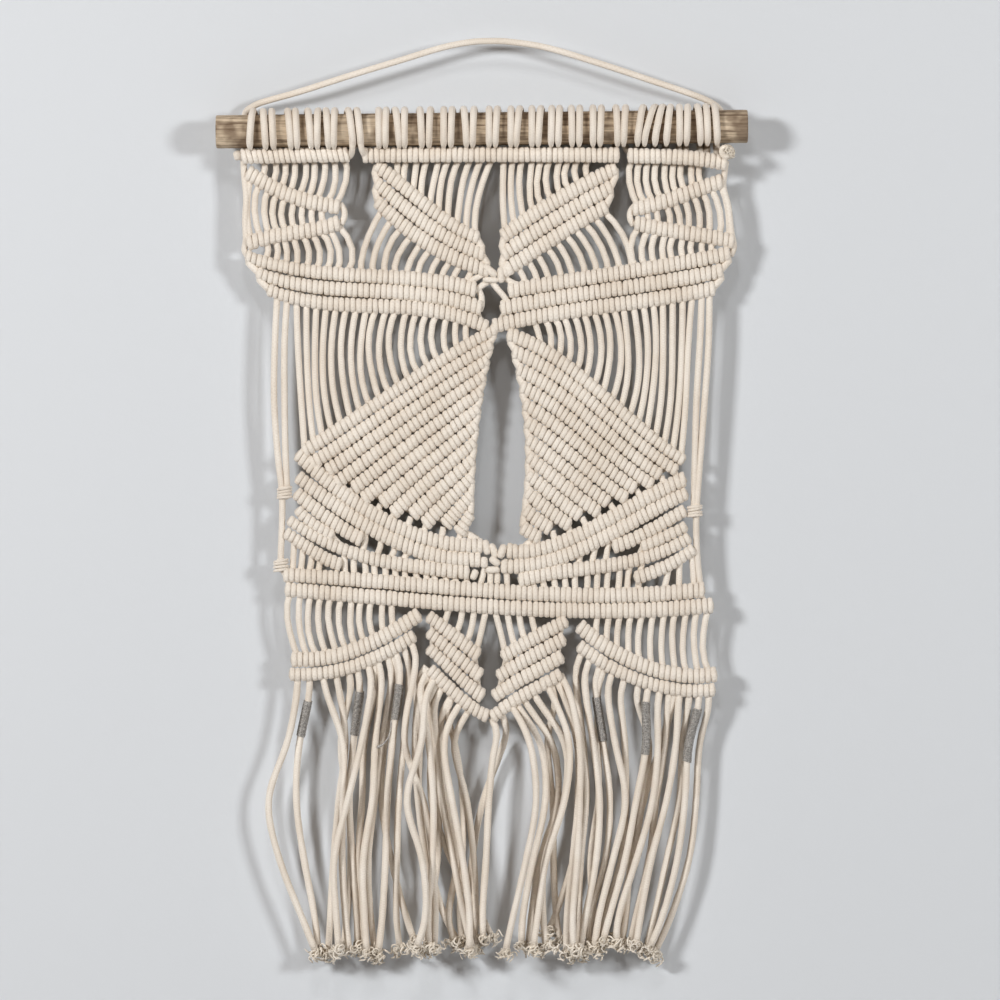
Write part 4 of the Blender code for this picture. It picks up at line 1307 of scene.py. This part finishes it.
@dataclass
class FringeLay:
    """Lays the fringe strands in depth, so that those that cross stand apart."""

    layer: float = 4.4
    layers: tuple = (0, 1, -1, 2, -2, -3)
    settle: float = 16.0
    lead: float = 5.0
    span: float = 31.0
    apart: float = 0.4
    near: float = 7.0
    step: float = 5.0
    deep_steps: int = 34
    easing: int = 3
    strip: float = 7.6
    wound: float = 2.75
    wound_beyond: float = 3.0
    wound_clear: float = 4.0
    wound_margin: float = 1.0

    def keys(self, strand: FringeStrand) -> list:
        """Return a strand's key points.

        Args:
            strand: the strand.

        Returns:
            The points (x, z) from its root to its free end.
        """
        bar = BAR[strand.bar]
        root = bar.below(strand.place, BACKING_DROP)
        lead = bar.below(strand.place, BACKING_DROP + self.strip / 2 + self.lead)
        passed = [(x, z) for x, z in zip(strand.xs, FRINGE_LEVELS) if z < lead.y - self.lead]
        return [(root.x, root.y), (lead.x, lead.y), *passed, strand.end]

    @staticmethod
    def across(keys: list, z: float) -> float:
        """Return x at a height on a smooth curve through key points.

        Args:
            keys: the points (x, z), from the top down.
            z: the height.

        Returns:
            x there.
        """
        for i in range(len(keys) - 1):
            if z >= keys[i + 1][1] or i == len(keys) - 2:
                break
        (x1, z1), (x2, z2) = keys[i], keys[i + 1]
        before, after = keys[max(i - 1, 0)], keys[min(i + 2, len(keys) - 1)]
        slope1 = (x2 - before[0]) / (z2 - before[1])
        slope2 = (after[0] - x1) / (after[1] - z1)
        t, span = (z - z1) / (z2 - z1), z2 - z1
        return ((2 * t ** 3 - 3 * t ** 2 + 1) * x1 + (t ** 3 - 2 * t ** 2 + t) * span * slope1
                + (3 * t ** 2 - 2 * t ** 3) * x2 + (t ** 3 - t ** 2) * span * slope2)

    def path(self, keys: list, depth: float, levels: list) -> list:
        """Return a strand's points at given heights.

        Args:
            keys: its key points.
            depth: how far it hangs behind the panel.
            levels: the heights, from the top down.

        Returns:
            The points (x, y, z).
        """
        points = []
        for z in levels:
            settled = min(1.0, max(0.0, (keys[0][1] - z - self.strip / 2) / self.settle))
            y = PANEL_Y + depth * settled * settled * (3 - 2 * settled)
            points.append(Vector((self.across(keys, z), y, z)))
        return points

    def fine_path(self, keys: list, depth: float, count: int) -> list:
        """Return a strand's path in even steps, with its sharper bends rounded off.

        Args:
            keys: its key points.
            depth: how far it hangs behind the panel.
            count: the number of steps.

        Returns:
            The points (x, y, z).
        """
        root, end = keys[0][1], keys[-1][1]
        path = self.path(keys, depth, [root + (end - root) * i / count for i in range(count + 1)])
        for _ in range(self.easing):
            path = [path[0]] + [(a + 2 * b + c) / 4 for a, b, c
                                in zip(path, path[1:], path[2:])] + [path[-1]]
        return path

    def levels(self, keys: list, winding: tuple | None) -> list:
        """Return the heights at which a strand is tested against the others.

        Args:
            keys: its key points.
            winding: its winding, if it has one.

        Returns:
            The heights, from the top down.
        """
        root, end = keys[0][1], keys[-1][1]
        spans = math.ceil((root - end) / self.span)
        levels = {round(root + (end - root) * i / spans, 2) for i in range(spans + 1)}
        levels |= {round(root - self.strip / 2 - self.lead, 2)}
        if winding:
            top, low = winding[1:]
            levels = {z for z in levels if z == root
                      or not low - self.wound_clear < z < top + self.wound_clear}
            levels |= {top + self.wound_margin, (top + low) / 2, low - self.wound_margin}
        return sorted(levels, reverse=True)

    def sampled(self, path: list) -> list:
        """Return the part of a path that hangs below its backing.

        Args:
            path: the path.

        Returns:
            Closely spaced points of it.
        """
        points = []
        for a, b in zip(path, path[1:]):
            count = max(1, int((b - a).length / 2))
            points += [a.lerp(b, i / count) for i in range(count)]
        return [p for p in points + [path[-1]] if p.z < path[0].z - self.strip / 2 - 1]

    def half(self, winding: tuple | None, z: float) -> float:
        """Return a strand's half thickness at a height.

        Args:
            winding: its winding, if it has one.
            z: the height.

        Returns:
            The half thickness, with the winding where there is one.
        """
        beyond = self.wound_beyond
        wound = winding and winding[2] - beyond < z < winding[1] + beyond
        return self.wound if wound else CORD / 2

    def gap(self, path: list, winding: tuple | None, laid: list) -> float:
        """Return the least gap between a strand and those already laid.

        Args:
            path: the strand's sampled points.
            winding: its winding, if it has one.
            laid: the others' sampled points and windings.

        Returns:
            The gap, at most the distance that is wanted.
        """
        least = self.apart
        for other, other_winding in laid:
            for p in path:
                for q in other:
                    if abs(p.z - q.z) < self.near and abs(p.x - q.x) < self.near:
                        halves = self.half(winding, p.z) + self.half(other_winding, q.z)
                        least = min(least, (p - q).length - halves)
        return least

    def lay(self) -> list:
        """Lay all the strands, each in the first layer that keeps it clear, then the deep ones.

        Returns:
            Each strand's fine path.
        """
        windings = {w[0]: w for w in WINDINGS}
        laid, paths = [], []
        for number, strand in enumerate(FRINGE):
            keys, winding = self.keys(strand), windings.get(number)
            levels, best = self.levels(keys, winding), None
            for layer in self.layers:
                depth = layer * self.layer
                path = self.sampled(self.path(keys, depth, levels))
                gap = self.gap(path, winding, laid)
                if best is None or gap > best[0]:
                    best = (gap, path, depth)
            laid.append((best[1], winding))
            count = max(12, int((keys[0][1] - keys[-1][1]) / self.step))
            paths.append(self.fine_path(keys, best[2], count))
        for strand in DEEP_FRINGE:
            paths.append(self.fine_path(self.keys(strand), strand.depth, self.deep_steps))
        return paths


@dataclass
class FrayedEnd:
    """The curly yarns at a cut cord's end, as a few template meshes."""

    kinds: int = 5
    yarns: int = 15
    spread: float = 9.0
    flatness: float = 0.55
    curls: float = 9.5
    yarn_radius: float = 0.5
    steps: int = 11
    droop: tuple = (0.1, 1.6)
    reaches: tuple = (0.35, 1.0)
    coils: tuple = (1.3, 2.6)
    sizes: tuple = (0.85, 1.2)
    seed: int = 100
    templates: list = field(default_factory=list)

    def __post_init__(self) -> None:
        """Build the templates."""
        for kind in range(self.kinds):
            chance = random.Random(self.seed + kind)
            tuft = Cords("tuft")
            for k in range(self.yarns):
                tuft.cord(self.yarn(k, chance), self.yarn_radius, sides=4, ends=(1.2, 0.8))
            self.templates.append(close_mesh("tuft", tuft.bm))

    def yarn(self, number: int, chance: random.Random) -> list:
        """Curl one yarn out from the cord's end.

        Args:
            number: the yarn's number round the end.
            chance: gives it its own aim, reach and curl.

        Returns:
            Its points.
        """
        bearing = 2 * math.pi * (number + chance.random()) / self.yarns
        aim = Vector((math.cos(bearing), self.flatness * math.sin(bearing),
                      -chance.uniform(*self.droop))).normalized()
        side = aim.orthogonal().normalized()
        reach = self.spread * chance.uniform(*self.reaches)
        coil, start = chance.uniform(*self.coils), chance.uniform(*ANY_TURN)
        points = []
        for i in range(self.steps + 1):
            t = i / self.steps
            curl = Matrix.Rotation(start + self.curls * t, 3, aim) @ side
            points.append(Vector((0, 0, 1.0)) + aim * (reach * t) + curl * coil * (0.35 + 0.65 * t))
        return points

    def fray(self, cords: Cords, path: list, chance: random.Random) -> None:
        """Fray the lower end of a strand.

        Args:
            cords: the piece that takes the yarns.
            path: the strand's points.
            chance: picks and turns the template.
        """
        down = (path[-1] - path[-2]).normalized()
        aim = Vector((0, 0, -1)).rotation_difference(down).to_matrix().to_4x4()
        size = chance.uniform(*self.sizes)
        cords.place(chance.choice(self.templates), Matrix.Translation(path[-1] * MM) @ aim
                    @ Matrix.Rotation(chance.uniform(*ANY_TURN), 4, "Z") @ Matrix.Scale(size, 4))


@dataclass
class Fringe:
    """The three fringes: knotted backing rows, loose strands with frayed ends and windings."""

    finish: bpy.types.Material
    thread: bpy.types.Material
    knots: HalfHitches
    # loose is the lighter copy of the cotton for the frayed ends: painted light.
    loose: bpy.types.Material
    radius: float = 1.98
    uneven: tuple = (0.94, 1.05)
    backing_steps: int = 16
    thread_mm: float = 0.8
    thread_lift: float = 0.3
    thread_uneven: float = 0.12
    per_turn: int = 9
    cut_thread: int = 3
    cut_end: tuple = ((0, 0, 0), (-0.3, -0.8, -5), (-1.5, -1.4, -10), (-4.5, -1.6, -14),
                      (-8, -1.2, -16))
    cut_swell: tuple = (1.3, 1.7, 1.9, 1.5)

    def backing(self, cords: Cords, bar: Bar, start: float, end: float,
                chance: random.Random) -> None:
        """Tie a fringe's backing row under its bar.

        Args:
            cords: the piece that takes it.
            bar: the bar.
            start: where the row starts along the bar.
            end: where it ends.
            chance: gives each turn its own small unevenness.
        """
        places = [start + (end - start) * i / self.backing_steps
                  for i in range(self.backing_steps + 1)]
        line = RowLine(tuple(bar.below(t, BACKING_DROP) for t in places))
        self.knots.tie(cords, line, (BACKING_HEIGHT,), chance, bar.slant)

    def winding(self, number: int, path: list, top: float, low: float) -> None:
        """Wind thread round a strand.

        Args:
            number: the winding's number.
            path: the strand's fine points.
            top: the winding's upper end.
            low: its lower end.
        """
        inside = [p for p in path if low <= p.z <= top]
        steps = int(path_length(inside) / self.thread_mm) * self.per_turn
        chance = random.Random(number)
        axis = (inside[-1] - inside[0]).normalized()
        side = axis.cross(Vector((0, 1, 0))).normalized()
        front = side.cross(axis)
        points = []
        for i in range(steps + 1):
            where = i / steps * (len(inside) - 1)
            start = min(int(where), len(inside) - 2)
            middle = inside[start].lerp(inside[start + 1], where - start)
            angle = 2 * math.pi * i / self.per_turn
            reach = self.radius + self.thread_lift + self.thread_uneven * chance.random()
            points.append(middle + (side * math.cos(angle) + front * math.sin(angle)) * reach)
        cords = Cords(f"thread_winding_{number}")
        cords.cord(points, self.thread_mm * 0.55, sides=4)
        if number == self.cut_thread:
            last = inside[-1] + Vector((-self.radius - self.thread_lift, -0.6, 0))
            tail = smooth([last + Vector(p) for p in self.cut_end])
            cords.cord(tail, self.thread_mm * 0.6, sides=6,
                       swell=[1.0] * (len(tail) - len(self.cut_swell)) + list(self.cut_swell))
        cords.finish(self.thread, "grey_metallic_thread", f"winding_{number}")

    def build(self) -> None:
        """Build the three fringes, each with its frayed ends, and the windings."""
        frayed = FrayedEnd()
        paths = FringeLay().lay()
        for name, backings in BACKINGS.items():
            cords, tufts = Cords(name + "_cords"), Cords(name + "_tufts")
            chance = random.Random(name)
            for bar_name, start, end in backings:
                self.backing(cords, BAR[bar_name], start, end, chance)
            owners = [backing[0] for backing in backings]
            for strand, path in zip(FRINGE + DEEP_FRINGE, paths):
                if strand.bar in owners:
                    swell = [chance.uniform(*self.uneven) for _ in path]
                    cords.cord(path, self.radius, swell=swell)
                    frayed.fray(tufts, path, chance)
            cords.finish(self.finish, "cotton_cord", name)
            tufts.finish(self.loose, "cotton_cord")
        for number, (strand, top, low) in enumerate(WINDINGS, 1):
            self.winding(number, paths[strand], top, low)


# ---------------------------------------------------------------- rod and hanging cord

@dataclass
class Rod:
    """The wooden rod, a little uneven, with eased and sawn ends."""

    wood: bpy.types.Material
    end_wood: bpy.types.Material
    sides: int = 64
    ease: float = 0.8
    stretches: int = 24
    plain_end: float = 2.0
    lumps: int = 39
    bulge: float = 0.09
    seed: int = 3

    def build(self) -> None:
        """Turn the rod from a long cylinder."""
        bm = bmesh.new()
        bmesh.ops.create_cone(bm, cap_ends=True, segments=self.sides, radius1=ROD_RADIUS * MM,
                              radius2=ROD_RADIUS * MM, depth=ROD_LENGTH * MM)
        rims = [e for e in bm.edges if abs(e.verts[0].co.z - e.verts[1].co.z) < MERGE_M]
        bmesh.ops.bevel(bm, geom=rims, offset=self.ease * MM, segments=3, profile=0.5,
                        affect="EDGES", material=-1)
        for i in range(1, self.stretches):
            cut = (i / self.stretches - 0.5) * (ROD_LENGTH - 2 * self.plain_end) * MM
            bmesh.ops.bisect_plane(bm, geom=bm.verts[:] + bm.edges[:] + bm.faces[:],
                                   plane_co=(0, 0, cut), plane_no=(0, 0, 1))
        self.swell(bm)
        for face in bm.faces:
            face.smooth = True
            face.material_index = 1 if abs(face.normal.z) > 0.9 else 0
        tilt = math.atan2(ROD_RISE, ROD_LENGTH)
        place = (Matrix.Translation(lift(ROD_MIDDLE, 0) * MM)
                 @ Matrix.Rotation(math.pi / 2 - tilt, 4, "Y"))
        bmesh.ops.transform(bm, matrix=place, verts=bm.verts)
        join_model(show("wooden_rod", bm, self.wood, self.end_wood), "dowel_wood", "dowel")

    def swell(self, bm: bmesh.types.BMesh) -> None:
        """Make the rod a little uneven along its length.

        Args:
            bm: the rod, upright.
        """
        chance = random.Random(self.seed)
        lumps = [(chance.uniform(-self.bulge, self.bulge), chance.uniform(*ANY_TURN))
                 for _ in range(self.lumps + 1)]
        for vert in bm.verts:
            spot = int((vert.co.z / (ROD_LENGTH * MM) + 0.5) * (self.lumps - 1))
            bulge, bearing = lumps[min(max(spot, 0), self.lumps)]
            angle = math.atan2(vert.co.y, vert.co.x)
            vert.co.xy *= 1 + bulge * math.cos(angle - bearing) / ROD_RADIUS


@dataclass
class HangingCord:
    """The cord that hangs the rod from the nail, and the knot with its tuft at its right end.

    knot_turns gives the tilt, the radius and the place ahead of each turn of the knot.
    """

    finish: bpy.types.Material
    # loose is the lighter copy of the cotton for the end knot and its tuft: painted light.
    loose: bpy.types.Material
    knot_middle: tuple = (136.1, -4.2, -62.2)
    knot_cord_radius: float = 1.9
    knot_turns: tuple = ((0.3, 2.6, 0.0), (-0.4, 2.4, -2.6))
    knot_steps: int = 12
    knot_overlap: int = 3
    tuft_aim: tuple = (0.3, -3.6, -0.4)
    seed: int = 21

    def end_knot(self) -> bpy.types.Object:
        """Tie the end knot and fray the cord's end below it.

        Returns:
            The finished object.
        """
        cords = Cords("end_knot_tuft")
        middle = Vector(self.knot_middle)
        for tilt, size, ahead in self.knot_turns:
            ring = []
            for i in range(self.knot_steps + self.knot_overlap):
                a = 2 * math.pi * i / self.knot_steps
                spot = Vector((size * math.cos(a), 0.5 * math.sin(2 * a) + ahead,
                               size * math.sin(a)))
                ring.append(middle + Matrix.Rotation(tilt, 3, "Z") @ spot)
            cords.cord(ring, self.knot_cord_radius)
        frayed = FrayedEnd(kinds=2, yarns=30, spread=4.6)
        frayed.fray(cords, [middle, middle + Vector(self.tuft_aim)], random.Random(self.seed))
        return cords.finish(self.loose, "cotton_cord", "end_knot")

    def build(self) -> None:
        """Hang the cord."""
        knot = self.end_knot()
        points = smooth([Vector(p) for p in HANGER_ROUTE])
        cords = Cords("hanging_cord_braid")
        cords.cord(points, CORD / 2, sides=10)
        piece = cords.finish(self.finish, "cotton_cord", "hanging_cord")


# ---------------------------------------------------------------- stage

@dataclass
class Studio:
    """The wall and floor, soft light and the camera.

    The view is in millimetres, the stage and the lamps in metres; lamps gives what lamp takes.
    """

    view_middle: tuple = (5.7, -261.6)
    view_width: float = 573.6
    distance: float = 3500.0
    sensor: float = 36.0
    stage_half: float = 2.5
    wall_z: float = -0.3
    floor_middle: tuple = (0, -1.0, -1.3)
    lamps: tuple = (("left_window", (-1.6, -1.7, 0.35), 0.38, 32.3, "F8FAFC"),
                    ("right_window", (1.6, -1.7, 0.2), 0.38, 21.6, "F5F9FC"),
                    ("ceiling_lamp", (-0.1, -1.5, 1.25), 0.3, 4.7, "F6F9FC"))
    sky: str = "D9A66C"
    sky_strength: float = 0.10

    def camera(self) -> None:
        """Set up the camera straight in front of the hanging."""
        data = bpy.data.cameras.new("camera")
        data.sensor_width = self.sensor
        data.lens = self.sensor * self.distance / self.view_width
        camera = bpy.data.objects.new("camera", data)
        camera.location = Vector((self.view_middle[0], -self.distance, self.view_middle[1])) * MM
        camera.rotation_euler = (math.pi / 2, 0, 0)
        bpy.context.scene.collection.objects.link(camera)
        bpy.context.scene.camera = camera

    def plane(self, name: str, matrix: Matrix, paint: bpy.types.Material) -> None:
        """Add a flat stage surface.

        Args:
            name: its name.
            matrix: its place; it faces along its own z.
            paint: its finish.
        """
        bm = bmesh.new()
        bmesh.ops.create_grid(bm, x_segments=1, y_segments=1, size=self.stage_half, matrix=matrix)
        show(name, bm, paint)

    def lamp(self, name: str, spot: tuple, size: float, power: float, colour: str) -> None:
        """Add a soft square light that faces the middle of the hanging.

        Args:
            name: its name.
            spot: its place in metres.
            size: its width in metres.
            power: its power in watts.
            colour: its colour as sRGB hex.
        """
        data = bpy.data.lights.new(name, "AREA")
        data.size = size
        data.energy = power
        data.color = from_hex(colour)[:3]
        lamp = bpy.data.objects.new(name, data)
        lamp.location = spot
        aim = Vector((0, 0, self.view_middle[1] * MM)) - lamp.location
        lamp.rotation_euler = aim.to_track_quat("-Z", "Y").to_euler()
        bpy.context.scene.collection.objects.link(lamp)

    def build(self) -> None:
        """Build the wall, the floor, the lights and the sky."""
        paint = WallPaint().make()
        place = Matrix.Translation((0, WALL_Y * MM, self.wall_z))
        self.plane("wall", place @ Matrix.Rotation(math.pi / 2, 4, "X"), paint)
        self.plane("floor", Matrix.Translation(self.floor_middle), paint)
        for lamp in self.lamps:
            self.lamp(*lamp)
        scene, world = bpy.context.scene, bpy.data.worlds.new("room")
        world.use_nodes = True
        set_up(world.node_tree, world.node_tree.nodes["Background"],
               {"Color": from_hex(self.sky), "Strength": self.sky_strength})
        scene.world = world
        scene.view_settings.view_transform = "Standard"
        scene.view_settings.look = "Medium High Contrast"


def main() -> None:
    """Build every piece in order."""
    logging.basicConfig(level=logging.INFO, format="%(message)s")
    studio = Studio()
    studio.camera()
    cotton = CottonCord().make()
    # The frayed ends and the end knot take a lighter copy of the cotton: painted light, which offsets
    # the shade among their thin yarns.
    loose = CottonCord("frayed_cotton_yarn", "F8EFE2", "EFE4D3", "DFD1BD").make()
    HangingCord(cotton, loose).build()
    Rod(DowelWood().make(), DowelWood(end=True).make()).build()
    knots = HalfHitches()
    RodLoops(cotton).build()
    KnottedBars(cotton, knots).build()
    FreeStrands(cotton, knots).build()
    Fringe(cotton, MetallicThread().make(), knots, loose).build()
    studio.build()
    for spare in [m for m in bpy.data.meshes if not m.users]:
        bpy.data.meshes.remove(spare)


if __name__ == "__main__":
    main()
